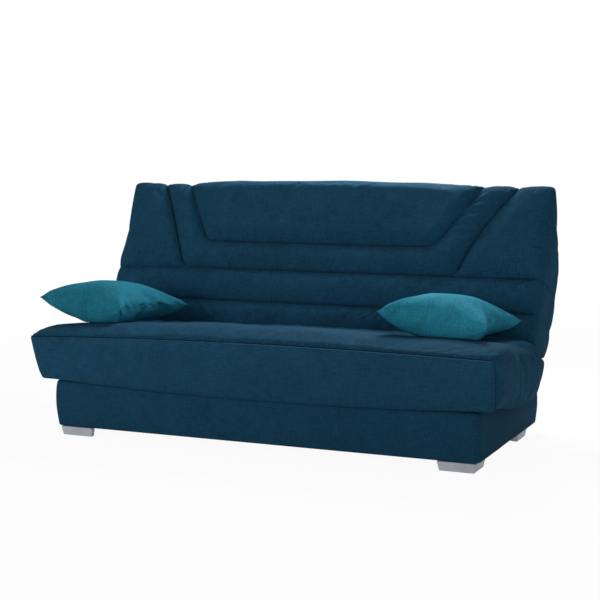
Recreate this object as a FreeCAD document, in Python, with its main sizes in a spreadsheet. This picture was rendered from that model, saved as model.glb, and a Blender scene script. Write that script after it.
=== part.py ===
"""Clic-clac futon sofa bed: a storage chest on four block feet, two swing-link side mechanisms,
a hinged seat half and back half with slatted frames and foam mattresses, and two loose pillows.

Frame: millimetres, +Z up, floor at Z = 0, +X to the sitter's left, the seat looks towards -Y.
The back half is built lying flat, as in the bed position, and is then raised about the fold line.
"""

import FreeCAD, Part
import Sketcher
import os
import re

from FreeCAD import Placement, Rotation, Vector

DRIVING = [
    # the chest
    ("base_depth", 740.0),
    ("base_half", 900.0),
    ("foot_high", 37.0),
    ("base_top", 229.0),
    ("board", 18.0),
    ("wadding", 8.0),
    ("lip", 4.0),
    ("floor_thick", 12.0),
    ("block", 40.0),
    ("block_top", 150.0),
    ("foot_wide", 140.0),
    ("foot_deep", 115.0),
    ("foot_web", 24.0),
    ("foot_inset", 11.0),
    ("foot_taper", 7.0),
    ("foot_setback", 3.0),
    ("rear_foot_end", 652.0),
    ("stud_radius", 4.0),
    # the fold line and the two swing links of each side
    ("hinge_back", 523.0),
    ("hinge_high", 380.0),
    ("rest_turn", 63.8),
    ("link_length", 180.0),
    ("link_lean", 39.7),
    ("link_half", 15.0),
    ("link_low", 75.0),
    ("front_link", 185.0),
    ("rear_link", 385.0),
    # side plates of the mechanism, as distances from the middle of the sofa
    ("plate", 6.0),
    ("seat_plate_at", 845.0),
    ("arm_at", 853.0),
    ("link_at", 861.0),
    ("bracket_at", 870.0),
    ("slot_in", 841.0),
    ("slot_out", 876.0),
    ("slot_deep", 33.0),
    ("arm_half", 20.0),
    ("bar_low", 198.0),
    ("bar_top", 226.0),
    ("pin_radius", 6.0),
    ("pin_play", 0.05),
    ("tie_radius", 11.0),
    # both upholstered halves
    ("pack_low", 231.0),
    ("crease_top", 420.0),
    ("crown_top", 440.0),
    ("crease_slope", 42.0),
    ("skin", 3.5),
    ("hem", 35.0),
    ("foam_low", 282.0),
    ("rail", 30.0),
    ("rail_low", 236.0),
    ("tube_wall", 2.0),
    ("slat_wide", 53.0),
    ("slat_thick", 8.0),
    ("slat_pitch", 132.0),
    ("slats_each_side", 6.0),
    # the seat half
    ("seat_half_top", 978.0),
    ("seat_half_low", 945.0),
    ("seat_reach_top", 66.0),
    ("seat_reach_low", 16.0),
    ("front_panel", 6.0),
    ("seat_frame_front", 10.0),
    ("seat_frame_rear", 495.0),
    ("crown_front_gap", 60.0),
    ("crown_rear_gap", 150.0),
    # the back half, measured from the fold line along the flat mattress
    ("back_half", 957.0),
    ("back_end", 651.0),
    ("back_crown", 680.0),
    ("back_shoulder", 610.0),
    ("back_shoulder_high", 276.0),
    ("back_brow", 662.0),
    ("back_brow_high", 345.0),
    ("back_frame_near", 40.0),
    ("back_frame_far", 537.0),
    # pillows
    ("pillow_side", 360.0),
    ("pillow_flat", 190.0),
    ("pillow_thick", 156.0),
    ("ticking", 2.0),
    ("pillow_high", 529.0),
    ("pillow_tip", 5.0),
    ("pillow_left_at", -770.0),
    ("pillow_left_deep", 240.0),
    ("pillow_right_at", 682.0),
    ("pillow_right_deep", 296.0),
]

DERIVED = [
    # the row's origin is midway between the seat's front edge and the back's rearmost edge
    ("rear_reach", "(back_frame_far + 4) * cos(rest_turn) + (hinge_high - pack_low) * sin(rest_turn)"),
    ("base_front", "(seat_reach_top - hinge_back - rear_reach) / 2"),
    ("base_rear", "base_front + base_depth"),
    ("board_half", "base_half - wadding"),
    ("room_half", "base_half - wadding - board"),
    ("fold_y", "base_front + hinge_back"),
    ("link_run", "link_length * sin(link_lean)"),
    ("link_rise", "link_length * cos(link_lean)"),
    ("link_top", "link_low + link_rise"),
    ("front_link_y", "base_front + front_link"),
    ("rear_link_y", "base_front + rear_link"),
    ("front_pin_y", "front_link_y + link_run"),
    ("rear_pin_y", "rear_link_y + link_run"),
    ("bore", "pin_radius + pin_play"),
    ("rail_top", "rail_low + rail"),
    ("slat_low", "rail_top + 4"),
    ("slat_top", "slat_low + slat_thick"),
    ("seat_near", "fold_y - 0.5"),
    ("back_near", "fold_y + 0.5"),
    ("seat_rail_at", "seat_plate_at - rail"),
    ("back_rail_at", "link_at - rail"),
    ("frame_front", "base_front + seat_frame_front"),
    ("frame_rear", "base_front + seat_frame_rear"),
    ("back_frame_low", "fold_y + back_frame_near"),
    ("back_frame_high", "fold_y + back_frame_far"),
]

doc = FreeCAD.newDocument("ClicClacSofaBed")
sheet = doc.addObject("Spreadsheet::Sheet", "Sizes")
for row, (alias, number) in enumerate(DRIVING, 1):
    sheet.set(f"A{row}", alias.replace("_", " "))
    sheet.set(f"B{row}", str(number))
    sheet.setAlias(f"B{row}", alias)
for row, (alias, formula) in enumerate(DERIVED, len(DRIVING) + 1):
    sheet.set(f"A{row}", alias.replace("_", " "))
    sheet.set(f"B{row}", "=" + formula)
    sheet.setAlias(f"B{row}", alias)
doc.recompute()

ALIASES = {alias for alias, _ in DRIVING + DERIVED}
nodes = {}


# ---------------------------------------------------------------- expressions and small helpers

def bound(text):
    """The expression with every sheet name written as FreeCAD needs it."""
    return re.sub(
        r"[a-z][a-z_]*",
        lambda word: f"Sizes.{word[0]}" if word[0] in ALIASES else word[0],
        str(text),
    )


def value(text):
    """The number that an expression has now."""
    result = sheet.evalExpression(bound(text))
    return float(getattr(result, "Value", result))


def bind(item, prop, text):
    item.setExpression(prop, bound(text))


def node(name, item):
    """Record an object as a sub-part; its label becomes the name of its file."""
    item.Label = name
    nodes[name] = item
    return item


def box(name, x, y, z):
    """A block between pairs of expressions."""
    block = doc.addObject("Part::Box", name)
    for prop, axis, (low, high) in zip(("Length", "Width", "Height"), "xyz", (x, y, z)):
        bind(block, prop, f"({high}) - ({low})")
        bind(block, f"Placement.Base.{axis}", low)
    return block


def rod(name, x, y, z, radius):
    """A round bar along X."""
    bar = doc.addObject("Part::Cylinder", name)
    bar.Placement = Placement(Vector(), Rotation(Vector(0, 1, 0), 90))
    bind(bar, "Radius", radius)
    bind(bar, "Height", f"({x[1]}) - ({x[0]})")
    bind(bar, "Placement.Base.x", x[0])
    bind(bar, "Placement.Base.y", y)
    bind(bar, "Placement.Base.z", z)
    return bar


def post(name, x, y, z, radius):
    """A round bar along Z."""
    bar = doc.addObject("Part::Cylinder", name)
    bind(bar, "Radius", radius)
    bind(bar, "Height", f"({z[1]}) - ({z[0]})")
    bind(bar, "Placement.Base.x", x)
    bind(bar, "Placement.Base.y", y)
    bind(bar, "Placement.Base.z", z[0])
    return bar


def cut(name, base, *tools):
    tool = tools[0] if len(tools) == 1 else fuse(f"{name}_tools", *tools)
    result = doc.addObject("Part::Cut", name)
    result.Base, result.Tool = base, tool
    return result


def fuse(name, *items):
    result = doc.addObject("Part::MultiFuse", name)
    result.Shapes = list(items)
    return result


def common(name, *items):
    result = doc.addObject("Part::MultiCommon", name)
    result.Shapes = list(items)
    return result


def group(name, items):
    """Separate solids that make one node."""
    result = doc.addObject("Part::Compound", name)
    result.Links = list(items)
    return result


def mirror(name, item):
    """The same piece on the other side of the middle plane."""
    result = doc.addObject("Part::Mirroring", name)
    result.Source = item
    result.Normal = Vector(1, 0, 0)
    return result


def both(name, item):
    """One node of a right piece and its mirror image."""
    return group(name, [item, mirror(f"{name}_mirrored", item)])


def origin_plane(body, role):
    return next(item for item in body.Origin.OriginFeatures if item.Role == role)


def profile(body, name, plane, points, holes=(), offset="0"):
    """A closed polygon with round holes, each corner and centre tied to the sheet."""
    sketch = body.newObject("Sketcher::SketchObject", name)
    sketch.AttachmentSupport = (origin_plane(body, plane), [""])
    sketch.MapMode = "FlatFace"
    bind(sketch, "AttachmentOffset.Base.z", offset)
    corners = [Vector(value(u), value(v), 0) for u, v in points]
    for index, corner in enumerate(corners):
        following = corners[(index + 1) % len(corners)]
        sketch.addGeometry(Part.LineSegment(corner, following))
    for index in range(len(corners)):
        following = (index + 1) % len(corners)
        sketch.addConstraint(Sketcher.Constraint("Coincident", index, 2, following, 1))
    for index, (u, v) in enumerate(points):
        tie(sketch, index, 1, u, v)
    for u, v, radius in holes:
        centre = Vector(value(u), value(v), 0)
        circle = sketch.addGeometry(Part.Circle(centre, Vector(0, 0, 1), value(radius)))
        tie(sketch, circle, 3, u, v)
        ring = sketch.addConstraint(Sketcher.Constraint("Radius", circle, value(radius)))
        bind(sketch, f"Constraints[{ring}]", radius)
    return sketch


def tie(sketch, geometry, vertex, u, v):
    """Hold one point of a sketch at two expressions."""
    for kind, text in (("DistanceX", u), ("DistanceY", v)):
        rule = Sketcher.Constraint(kind, -1, 1, geometry, vertex, value(text))
        bind(sketch, f"Constraints[{sketch.addConstraint(rule)}]", text)


def pad(body, sketch, length, symmetric=False):
    feature = body.newObject("PartDesign::Pad", f"{sketch.Name}_pad")
    feature.Profile = sketch
    feature.SideType = "Symmetric" if symmetric else "One side"
    bind(feature, "Length", length)
    return feature


def pocket(body, sketch):
    """Cut a sketch right through the body, both ways."""
    before = volume(body)
    feature = body.newObject("PartDesign::Pocket", f"{sketch.Name}_pocket")
    feature.Profile = sketch
    feature.SideType = "Symmetric"
    feature.Type = "ThroughAll"
    doc.recompute()
    assert feature.Shape.Volume < before - 1, f"{sketch.Name} cuts nothing"
    return feature


def volume(body):
    doc.recompute()
    return body.Shape.Volume


def round_edges(body, name, radius, chosen):
    """Fillet the edges that a test accepts."""
    doc.recompute()
    base = body.Tip
    edges = [f"Edge{n}" for n, edge in enumerate(base.Shape.Edges, 1) if chosen(edge)]
    assert edges, f"{name} finds no edge"
    feature = body.newObject("PartDesign::Fillet", name)
    feature.Base = (base, edges)
    feature.Radius = radius
    return feature


def along(edge, axis):
    """Whether a straight edge runs along one axis."""
    if edge.Curve.TypeId != "Part::GeomLine":
        return False
    return abs(getattr(edge.Curve.Direction, axis)) > 0.999


def plate_body(name, at, points, holes, corner=5.0):
    """A flat steel plate across X, its outline in Y and Z, with rounded corners."""
    body = doc.addObject("PartDesign::Body", name)
    sketch = profile(body, f"{name}_outline", "YZ_Plane", points, holes, offset=at)
    pad(body, sketch, "plate")
    round_edges(body, f"{name}_corners", corner, lambda edge: along(edge, "x"))
    return body


def hollow_tube(name, x, y, z, axis):
    """A square steel tube with open ends along one axis."""
    outer = box(f"{name}_outside", x, y, z)
    spans = {"x": x, "y": y, "z": z}
    inside = {
        key: span if key == axis else (f"({span[0]}) + tube_wall", f"({span[1]}) - tube_wall")
        for key, span in spans.items()
    }
    inner = box(f"{name}_inside", inside["x"], inside["y"], inside["z"])
    return cut(name, outer, inner)


# ---------------------------------------------------------------- the storage chest

def chest_boards():
    side_y = ("base_front + wadding + board", "base_rear - wadding - board")
    inner_z = ("foot_high + lip", "base_top - lip")
    node("base_floor", cut(
        "floor",
        box("floor_panel", ("-room_half", "room_half"), side_y,
            ("foot_high", "foot_high + floor_thick")),
        *[post(f"floor_hole_{n}", x, y, ("0", "base_top"), "stud_radius + 0.5")
          for n, (x, y) in enumerate(foot_centres())],
    ))
    node("base_front_board", box(
        "front_board", ("-board_half", "board_half"),
        ("base_front + wadding", "base_front + wadding + board"), inner_z))
    node("base_rear_board", box(
        "rear_board", ("-board_half", "board_half"),
        ("base_rear - wadding - board", "base_rear - wadding"), inner_z))
    right = box("side_board", ("room_half", "board_half"), side_y, inner_z)
    node("base_right_board", right)
    node("base_left_board", mirror("left_board", right))
    blocks = [
        box(f"block_{n}", ("room_half - block", "room_half"), span,
            ("foot_high + floor_thick", "block_top"))
        for n, span in enumerate((
            (side_y[0], side_y[0] + " + block"), (side_y[1] + " - block", side_y[1])))
    ]
    node("base_corner_blocks", group(
        "blocks", blocks + [mirror(f"{item.Name}_left", item) for item in blocks]))


def chest_covers():
    """Fabric and wadding over the boards: one wrap each side, turned in over the rims."""
    depth_front = ("base_front", "base_front + wadding + board")
    depth_rear = ("base_rear - wadding - board", "base_rear")
    high = ("foot_high", "base_top")
    inner_z = ("foot_high + lip", "base_top - lip")
    whole = ("-base_half", "base_half")
    inner = ("-board_half", "board_half")
    node("base_cover_front", cut(
        "cover_front", box("cover_front_outside", whole, depth_front, high),
        box("cover_front_inside", inner, ("base_front + wadding", "base_front + 60"), inner_z)))
    node("base_cover_rear", cut(
        "cover_rear", box("cover_rear_outside", whole, depth_rear, high),
        box("cover_rear_inside", inner, ("base_rear - 60", "base_rear - wadding"), inner_z)))
    side_y = ("base_front + wadding + board", "base_rear - wadding - board")
    right = cut(
        "cover_side", box("cover_side_outside", ("room_half", "base_half"), side_y, high),
        box("cover_side_inside", ("room_half - 10", "board_half"),
            (side_y[0] + " - 10", side_y[1] + " + 10"), inner_z))
    node("base_cover_right", right)
    node("base_cover_left", mirror("cover_side_left", right))


def foot_rows():
    """Front edges of the front and rear feet."""
    return ("base_front + foot_setback", "base_front + rear_foot_end - foot_deep")


def foot_centres():
    across = "base_half - foot_inset - foot_wide / 2"
    return [
        (f"{sign}({across})", f"{row} + foot_deep / 2")
        for row in foot_rows() for sign in ("", "-")
    ]


def feet():
    """Tapered corner feet, square on their outer sides and cut off across the inner corner."""
    studs = []
    for row_name, row in zip(("front", "rear"), foot_rows()):
        wedge = doc.addObject("Part::Wedge", f"foot_{row_name}_block")
        wedge.Placement = Placement(Vector(), Rotation(Vector(1, 0, 0), 90))
        outer = "base_half - foot_inset"
        bind(wedge, "Ymin", "0")
        bind(wedge, "Ymax", "foot_high")
        bind(wedge, "Xmin", f"{outer} - foot_wide")
        bind(wedge, "Xmax", outer)
        bind(wedge, "X2min", f"{outer} - foot_wide - foot_taper")
        bind(wedge, "X2max", f"{outer} + 2")
        bind(wedge, "Zmin", f"-({row} + foot_deep)")
        bind(wedge, "Zmax", f"-({row})")
        bind(wedge, "Z2min", f"-({row} + foot_deep + foot_taper)")
        bind(wedge, "Z2max", f"-({row})")
        centre = ("base_half - foot_inset - foot_wide / 2", f"{row} + foot_deep / 2")
        socket = post(f"foot_{row_name}_socket", *centre, ("12", "foot_high + 1"),
                      "stud_radius + 0.1")
        wide_end = f"{outer} - foot_wide - foot_taper - 2"
        far_end = f"{row} + foot_deep + foot_taper + 2"
        inner_corner = {
            "front": [(wide_end, f"{row} + foot_web"), (f"{outer} - foot_web", far_end),
                      (wide_end, far_end)],
            "rear": [(wide_end, f"{row} + foot_deep - foot_web"), (wide_end, f"{row} - 2"),
                     (f"{outer} - foot_web", f"{row} - 2")],
        }
        corner = doc.addObject("PartDesign::Body", f"foot_{row_name}_corner")
        pad(corner, profile(corner, f"foot_{row_name}_corner_plan", "XY_Plane",
                            inner_corner[row_name], offset="-2"), "foot_high + 4")
        right = cut(f"foot_{row_name}", wedge, socket, corner)
        node(f"foot_{row_name}_right", right)
        node(f"foot_{row_name}_left", mirror(f"foot_{row_name}_mirror", right))
        stud = fuse(
            f"stud_{row_name}",
            post(f"stud_{row_name}_shank", *centre, ("14", "foot_high + floor_thick + 10"),
                 "stud_radius"),
            post(f"stud_{row_name}_nut", *centre,
                 ("foot_high + floor_thick", "foot_high + floor_thick + 6"),
                 "stud_radius * 2"))
        studs += [stud, mirror(f"stud_{row_name}_left", stud)]
    node("foot_studs", group("studs", studs))


def chest_brackets():
    """Steel plates on the inner faces of the side boards, which carry the swing links."""
    points = [
        ("front_link_y - 35", "foot_high + floor_thick + 6"),
        ("rear_link_y + 35", "foot_high + floor_thick + 6"),
        ("rear_link_y + 35", "link_low + 40"),
        ("front_link_y - 35", "link_low + 40"),
    ]
    screw_places = [
        (f"{link} + {step}", "link_low + 28")
        for link in ("front_link_y", "rear_link_y") for step in ("-20", "20")
    ]
    holes = [("front_link_y", "link_low", "bore"), ("rear_link_y", "link_low", "bore")]
    holes += [(y, z, "2.1") for y, z in screw_places]
    body = doc.addObject("PartDesign::Body", "bracket")
    sketch = profile(body, "bracket_outline", "YZ_Plane", points, holes, offset="bracket_at")
    pad(body, sketch, "room_half - bracket_at")
    round_edges(body, "bracket_corners", 8.0, lambda edge: along(edge, "x"))
    node("bracket_right", body)
    node("bracket_left", mirror("bracket_mirror", body))
    screws = [
        fuse(f"screw_{n}",
             rod(f"screw_{n}_shank", ("bracket_at", "room_half"), y, z, "2"),
             rod(f"screw_{n}_head", ("bracket_at - 2", "bracket_at"), y, z, "4"))
        for n, (y, z) in enumerate(screw_places)
    ]
    node("bracket_screws", both("screws", group("screws_right", screws)))
    pins = [
        fuse(f"{name}_low_pin",
             rod(f"{name}_low_shank", ("link_at - 3", "room_half"), y, "link_low", "pin_radius"),
             rod(f"{name}_low_head", ("link_at - 6", "link_at - 3"), y, "link_low",
                 "pin_radius + 4"))
        for name, y in (("front", "front_link_y"), ("rear", "rear_link_y"))
    ]
    node("link_base_pins", both("base_pins", group("base_pins_right", pins)))


def rim_buffers():
    """Thin felt strips on the front and rear rims, which the resting halves come down on."""
    strips = [
        box(f"rim_strip_{n}", (f"{x} - 60", f"{x} + 60"), span, ("base_top", "base_top + 1.2"))
        for n, (x, span) in enumerate(
            (x, span)
            for x in ("-600", "0", "600")
            for span in (("base_front + 6", "base_front + 20"), ("base_rear - 20", "base_rear - 6")))
    ]
    node("rim_buffers", group("rim_strips", strips))


# ---------------------------------------------------------------- the swing links and the carriage

def swing_link(name, foot_y):
    """A flat arm between its base pin and its upper pin, leaning back at rest."""
    along_y, along_z = "sin(link_lean)", "cos(link_lean)"

    def corner(end, side):
        reach = f"({end} * (link_length / 2 + link_half) + link_length / 2)"
        return (
            f"{foot_y} + {reach} * {along_y} + {side} * link_half * {along_z}",
            f"link_low + {reach} * {along_z} - {side} * link_half * {along_y}",
        )

    points = [corner(-1, -1), corner(-1, 1), corner(1, 1), corner(1, -1)]
    holes = [
        (foot_y, "link_low", "bore"),
        (f"{foot_y} + link_run", "link_top", "bore"),
    ]
    right = plate_body(f"{name}_arm", "link_at", points, holes, corner=14.0)
    node(f"{name}_right", right)
    node(f"{name}_left", mirror(f"{name}_mirror", right))


def carriage():
    """Side plates that carry the fold line, a tie tube between them, and their pins."""
    points = [
        ("front_pin_y - 15", "bar_low"),
        ("fold_y + arm_half", "bar_low"),
        ("fold_y + arm_half", "hinge_high + arm_half"),
        ("fold_y - arm_half", "hinge_high + arm_half"),
        ("fold_y - arm_half", "bar_top"),
        ("front_pin_y - 15", "bar_top"),
    ]
    holes = [
        ("front_pin_y", "link_top", "bore"),
        ("rear_pin_y", "link_top", "bore"),
        ("fold_y", "hinge_high", "bore"),
    ]
    plate = plate_body("carriage_plate", "arm_at", points, holes)
    flange = box("carriage_flange", ("seat_rail_at + 15", "arm_at"),
                 ("front_pin_y - 5", "fold_y - arm_half"), ("bar_top - 4", "bar_top"))
    right = fuse("carriage_side", plate, flange)
    node("carriage_right", right)
    node("carriage_left", mirror("carriage_mirror", right))

    tie_at = ("fold_y + 12", "bar_low + tie_radius")
    node("carriage_tube", cut(
        "tie_tube",
        rod("tie_outside", ("-arm_at", "arm_at"), *tie_at, "tie_radius"),
        rod("tie_inside", ("-arm_at", "arm_at"), *tie_at, "tie_radius - tube_wall")))

    pins = [
        fuse(f"{name}_top_pin",
             rod(f"{name}_top_shank", ("arm_at - 3", "link_at + plate + 2"), y, "link_top",
                 "pin_radius"),
             rod(f"{name}_top_head", ("arm_at - 6", "arm_at - 3"), y, "link_top",
                 "pin_radius + 2"))
        for name, y in (("front", "front_pin_y"), ("rear", "rear_pin_y"))
    ]
    node("link_top_pins", both("top_pins", group("top_pins_right", pins)))
    bolt = fuse(
        "fold_bolt",
        rod("fold_shank", ("seat_plate_at - 1", "link_at + plate + 4.2"), "fold_y",
            "hinge_high", "pin_radius"),
        rod("fold_head", ("link_at + plate + 4.2", "link_at + plate + 8"), "fold_y",
            "hinge_high", "pin_radius + 4"))
    node("fold_bolts", both("fold_bolt_pair", bolt))
    pads = [
        box(f"buffer_{n}", ("seat_rail_at + 17", "seat_plate_at - 1"), (y, f"{y} + 36"),
            ("bar_top", "rail_low - 0.3"))
        for n, y in enumerate(("front_pin_y + 12", "rear_pin_y - 60"))
    ]
    node("carriage_buffers", both("buffers", group("buffers_right", pads)))


def fold_gusset():
    """The soft web of the cover behind the fold, between the two mattress halves."""
    tilt_y, tilt_z = "sin(rest_turn)", "cos(rest_turn)"
    points = [
        ("fold_y + 2", "hinge_high - 6"),
        (f"fold_y + 138 * {tilt_y} - 3", f"hinge_high - 138 * {tilt_z} - 4"),
        ("fold_y + 116", "hinge_high - 120"),
        ("fold_y + 78", "pack_low + 5"),
        ("fold_y + 2", "pack_low + 2"),
    ]
    spans = {
        "middle": ("-slot_in + 4", "2 * slot_in - 8"),
        "right": ("slot_out + 2", "seat_half_low - slot_out - 2"),
    }
    webs = []
    for name, (start, length) in spans.items():
        body = doc.addObject("PartDesign::Body", f"web_{name}")
        pad(body, profile(body, f"web_{name}_outline", "YZ_Plane", points, offset=start), length)
        webs.append(body)
    webs.append(mirror("web_left", webs[1]))
    node("fold_gusset", group("webs", webs))


# ---------------------------------------------------------------- frames and slats of both halves

def side_rails(name, at, y):
    rail_x = (at, f"{at} + rail")
    tube = hollow_tube(f"{name}_tube", rail_x, y, ("rail_low", "rail_top"), "y")
    return both(name, tube)


def cross_rails(name, half, rows):
    tubes = [
        hollow_tube(f"{name}_{n}", (f"-({half})", half), (y, f"{y} + rail"),
                    ("rail_low", "rail_top"), "x")
        for n, y in enumerate(rows)
    ]
    return group(name, tubes)


def rail_caps(name, at, y):
    """Plastic plugs in the open ends of a pair of side rails."""
    plugs = [
        box(f"{name}_{n}", (f"{at} + tube_wall", f"{at} + rail - tube_wall"), span,
            ("rail_low + tube_wall", "rail_top - tube_wall"))
        for n, span in enumerate(((y[0], f"{y[0]} + 12"), (f"{y[1]} - 12", y[1])))
    ]
    return both(name, group(f"{name}_pair", plugs))


def slats_and_holders(prefix, y):
    """Sprung wooden slats from cross rail to cross rail, each end in a plastic holder."""
    slats, holders = [], []
    count = int(value("slats_each_side"))
    for place in range(-count, count + 1):
        tag = f"{prefix}_{place + count}"
        x = f"({place}) * slat_pitch"
        slat_x = (f"{x} - slat_wide / 2", f"{x} + slat_wide / 2")
        slats.append(box(f"{tag}_slat", slat_x, (f"{y[0]} + 10", f"{y[1]} - 10"),
                         ("slat_low", "slat_top")))
        for end, span in (("near", (y[0], f"{y[0]} + 36")), ("far", (f"{y[1]} - 36", y[1]))):
            shell = box(f"{tag}_{end}", (f"{x} - slat_wide / 2 - 4", f"{x} + slat_wide / 2 + 4"),
                        span, ("rail_top", "slat_top + 3"))
            room_y = (f"{y[0]} + 8", f"{y[1]} - 8")
            room = box(f"{tag}_{end}_room", (f"{slat_x[0]} - 0.3", f"{slat_x[1]} + 0.3"),
                       room_y, ("slat_low - 0.2", "slat_top + 0.2"))
            holders.append(cut(f"{tag}_{end}_holder", shell, room))
    return group(f"{prefix}_slats", slats), group(f"{prefix}_slat_holders", holders)


def hinge_plate(name, at, foot_y):
    """A plate on a side rail that reaches the fold line; foot_y is its far end on the rail."""
    near = "fold_y - arm_half" if value(foot_y) < value("fold_y") else "fold_y + arm_half"
    far = "fold_y + arm_half" if value(foot_y) < value("fold_y") else "fold_y - arm_half"
    points = [
        (foot_y, "rail_low + 2"),
        (far, "rail_low + 2"),
        (far, "hinge_high + arm_half"),
        (near, "hinge_high + arm_half"),
        (near, "rail_top - 2"),
        (foot_y, "rail_top - 2"),
    ]
    return plate_body(name, at, points, [("fold_y", "hinge_high", "bore")])


# ---------------------------------------------------------------- the seat half

def seat_form(name, inset, low, front):
    """The seat's outer shape, or the same shape drawn in by a skin's thickness."""
    body = doc.addObject("PartDesign::Body", name)
    top = f"crease_top - {inset}"
    slope = "crease_slope / (crease_top - hinge_high)"
    points = [
        (f"base_front - seat_reach_low + {front}", low),
        (f"seat_near - {inset}", low),
        (f"seat_near - {inset}", "hinge_high"),
        (f"seat_near - {inset} - {slope} * ({top} - hinge_high)", top),
        ("fold_y - crown_rear_gap", f"crown_top - {inset}"),
        ("base_front + crown_front_gap", f"crown_top - {inset}"),
        (f"base_front - seat_reach_top + {front}", top),
    ]
    sketch = profile(body, f"{name}_side", "YZ_Plane", points)
    pad(body, sketch, f"2 * (seat_half_top - {inset})", symmetric=True)
    flare = profile(body, f"{name}_flare", "XZ_Plane", [
        (f"seat_half_low - {inset}", "pack_low"),
        (f"seat_half_top - {inset}", "crease_top - 20"),
        ("seat_half_top + 20", "crease_top - 20"),
        ("seat_half_top + 20", "pack_low - 20"),
        (f"seat_half_low - {inset}", "pack_low - 20"),
    ])
    pocket(body, flare)
    flare_left = profile(body, f"{name}_flare_left", "XZ_Plane", [
        (f"-seat_half_low + {inset}", "pack_low"),
        (f"-seat_half_low + {inset}", "pack_low - 20"),
        ("-seat_half_top - 20", "pack_low - 20"),
        ("-seat_half_top - 20", "crease_top - 20"),
        (f"-seat_half_top + {inset}", "crease_top - 20"),
    ])
    pocket(body, flare_left)
    return body


def hinge_slots(name, y):
    """Room in a mattress end for the plates of the fold."""
    right = box(name, ("slot_in", "slot_out"), y, ("pack_low - 10", "crown_top - 24"))
    return both(f"{name}_pair", right)


def bottom_opening(name, half, y):
    """The open underside of a cover, inside its hem."""
    return box(name, (f"-({half}) + hem", f"({half}) - hem"), (f"{y[0]} + hem", f"{y[1]} - hem"),
               ("pack_low - 5", "pack_low + skin + 1"))


def seat():
    rows = ("frame_front", "frame_rear - rail")
    node("seat_side_rails", side_rails("seat_rails", "seat_rail_at", ("frame_front", "frame_rear")))
    node("seat_cross_rails", cross_rails("seat_cross", "seat_rail_at", rows))
    node("seat_rail_caps", rail_caps("seat_caps", "seat_rail_at", ("frame_front", "frame_rear")))
    slats, holders = slats_and_holders("seat", ("frame_front", "frame_rear"))
    node("seat_slats", slats)
    node("seat_slat_holders", holders)
    plate = hinge_plate("seat_plate", "seat_plate_at", "fold_y - 138")
    node("seat_hinge_plates", both("seat_plates", plate))

    outer = seat_form("seat_outside", "0", "pack_low", "front_panel")
    inner = seat_form("seat_inside", "skin", "pack_low + skin", "front_panel + skin")
    slots = hinge_slots("seat_slot", ("fold_y - slot_deep", "fold_y + 5"))
    opening = bottom_opening("seat_opening", "seat_half_low",
                             ("base_front - seat_reach_low", "fold_y"))
    node("seat_cover", cut("seat_shell", outer, inner, slots, opening))
    foam_space = box("seat_foam_space", ("-seat_half_top", "seat_half_top"),
                     ("base_front - 100", "fold_y + 10"), ("foam_low", "crown_top"))
    node("seat_mattress", cut("seat_foam", common("seat_foam_whole", inner, foam_space), slots))
    front_panel()


def front_panel():
    """The separate padded strip of fabric that closes the sloping front of the seat."""
    body = doc.addObject("PartDesign::Body", "seat_front")
    face = "base_front - seat_reach_"
    points = [
        (f"{face}low", "pack_low"),
        (f"{face}low + front_panel", "pack_low"),
        (f"{face}top + front_panel", "crease_top"),
        (f"{face}top", "crease_top"),
    ]
    pad(body, profile(body, "seat_front_side", "YZ_Plane", points), "2 * seat_half_top", True)
    for sign in ("", "-"):
        pocket(body, profile(body, f"seat_front_flare_{'left' if sign else 'right'}", "XZ_Plane", [
            (f"{sign}seat_half_low", "pack_low - 20"),
            (f"{sign}seat_half_low", "pack_low"),
            (f"{sign}seat_half_top", "crease_top - 20"),
            (f"{sign}(seat_half_top + 20)", "crease_top - 20"),
            (f"{sign}(seat_half_top + 20)", "pack_low - 20"),
        ]))
    node("seat_front_panel", body)


# ---------------------------------------------------------------- the back half

def back_form(name, inset):
    """The back's shape lying flat: a crowned far edge and an underside that rounds up to it."""
    body = doc.addObject("PartDesign::Body", name)
    end = f"fold_y + back_end - {inset}"
    crown = f"fold_y + back_crown - {inset}"
    half = f"(back_half - {inset})"
    outline = profile(body, f"{name}_plan", "XY_Plane", [
        (f"-{half}", f"back_near + {inset}"),
        (half, f"back_near + {inset}"),
        (half, end),
        (f"{half} * 0.62", f"{crown} - 10"),
        (f"{half} * 0.3", crown),
        (f"-{half} * 0.3", crown),
        (f"-{half} * 0.62", f"{crown} - 10"),
        (f"-{half}", end),
    ], offset=f"pack_low + {inset}")
    pad(body, outline, f"crease_top - pack_low - 2 * {inset}")
    slope = "crease_slope / (crease_top - hinge_high)"
    top = f"crease_top - {inset}"
    pocket(body, profile(body, f"{name}_fold", "YZ_Plane", [
        (f"back_near + {inset}", "hinge_high"),
        (f"back_near + {inset} + {slope} * ({top} - hinge_high)", top),
        (f"back_near + {inset} + {slope} * ({top} - hinge_high)", "crease_top + 10"),
        ("back_near - 10", "crease_top + 10"),
        ("back_near - 10", "hinge_high"),
    ]))
    pocket(body, profile(body, f"{name}_taper", "YZ_Plane", [
        ("back_frame_high + 4", f"pack_low + {inset}"),
        (f"fold_y + back_shoulder - {inset}", f"back_shoulder_high + {inset}"),
        (f"fold_y + back_brow - {inset}", f"back_brow_high + {inset}"),
        (f"fold_y + back_crown - {inset} + 2", "crease_top - 15"),
        ("fold_y + back_crown + 20", "crease_top - 15"),
        ("fold_y + back_crown + 20", "pack_low - 20"),
        ("back_frame_high + 4", "pack_low - 20"),
    ]))
    return body


def raise_back():
    """Turn the flat back parts about the fold line to where they stand when folded up."""
    fold = Vector(0, value("fold_y"), value("hinge_high"))
    turn = Placement(Vector(), Rotation(Vector(1, 0, 0), value("rest_turn")), fold)
    for name, item in nodes.items():
        if name.startswith("back_"):
            item.Placement = turn * item.Placement


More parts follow.
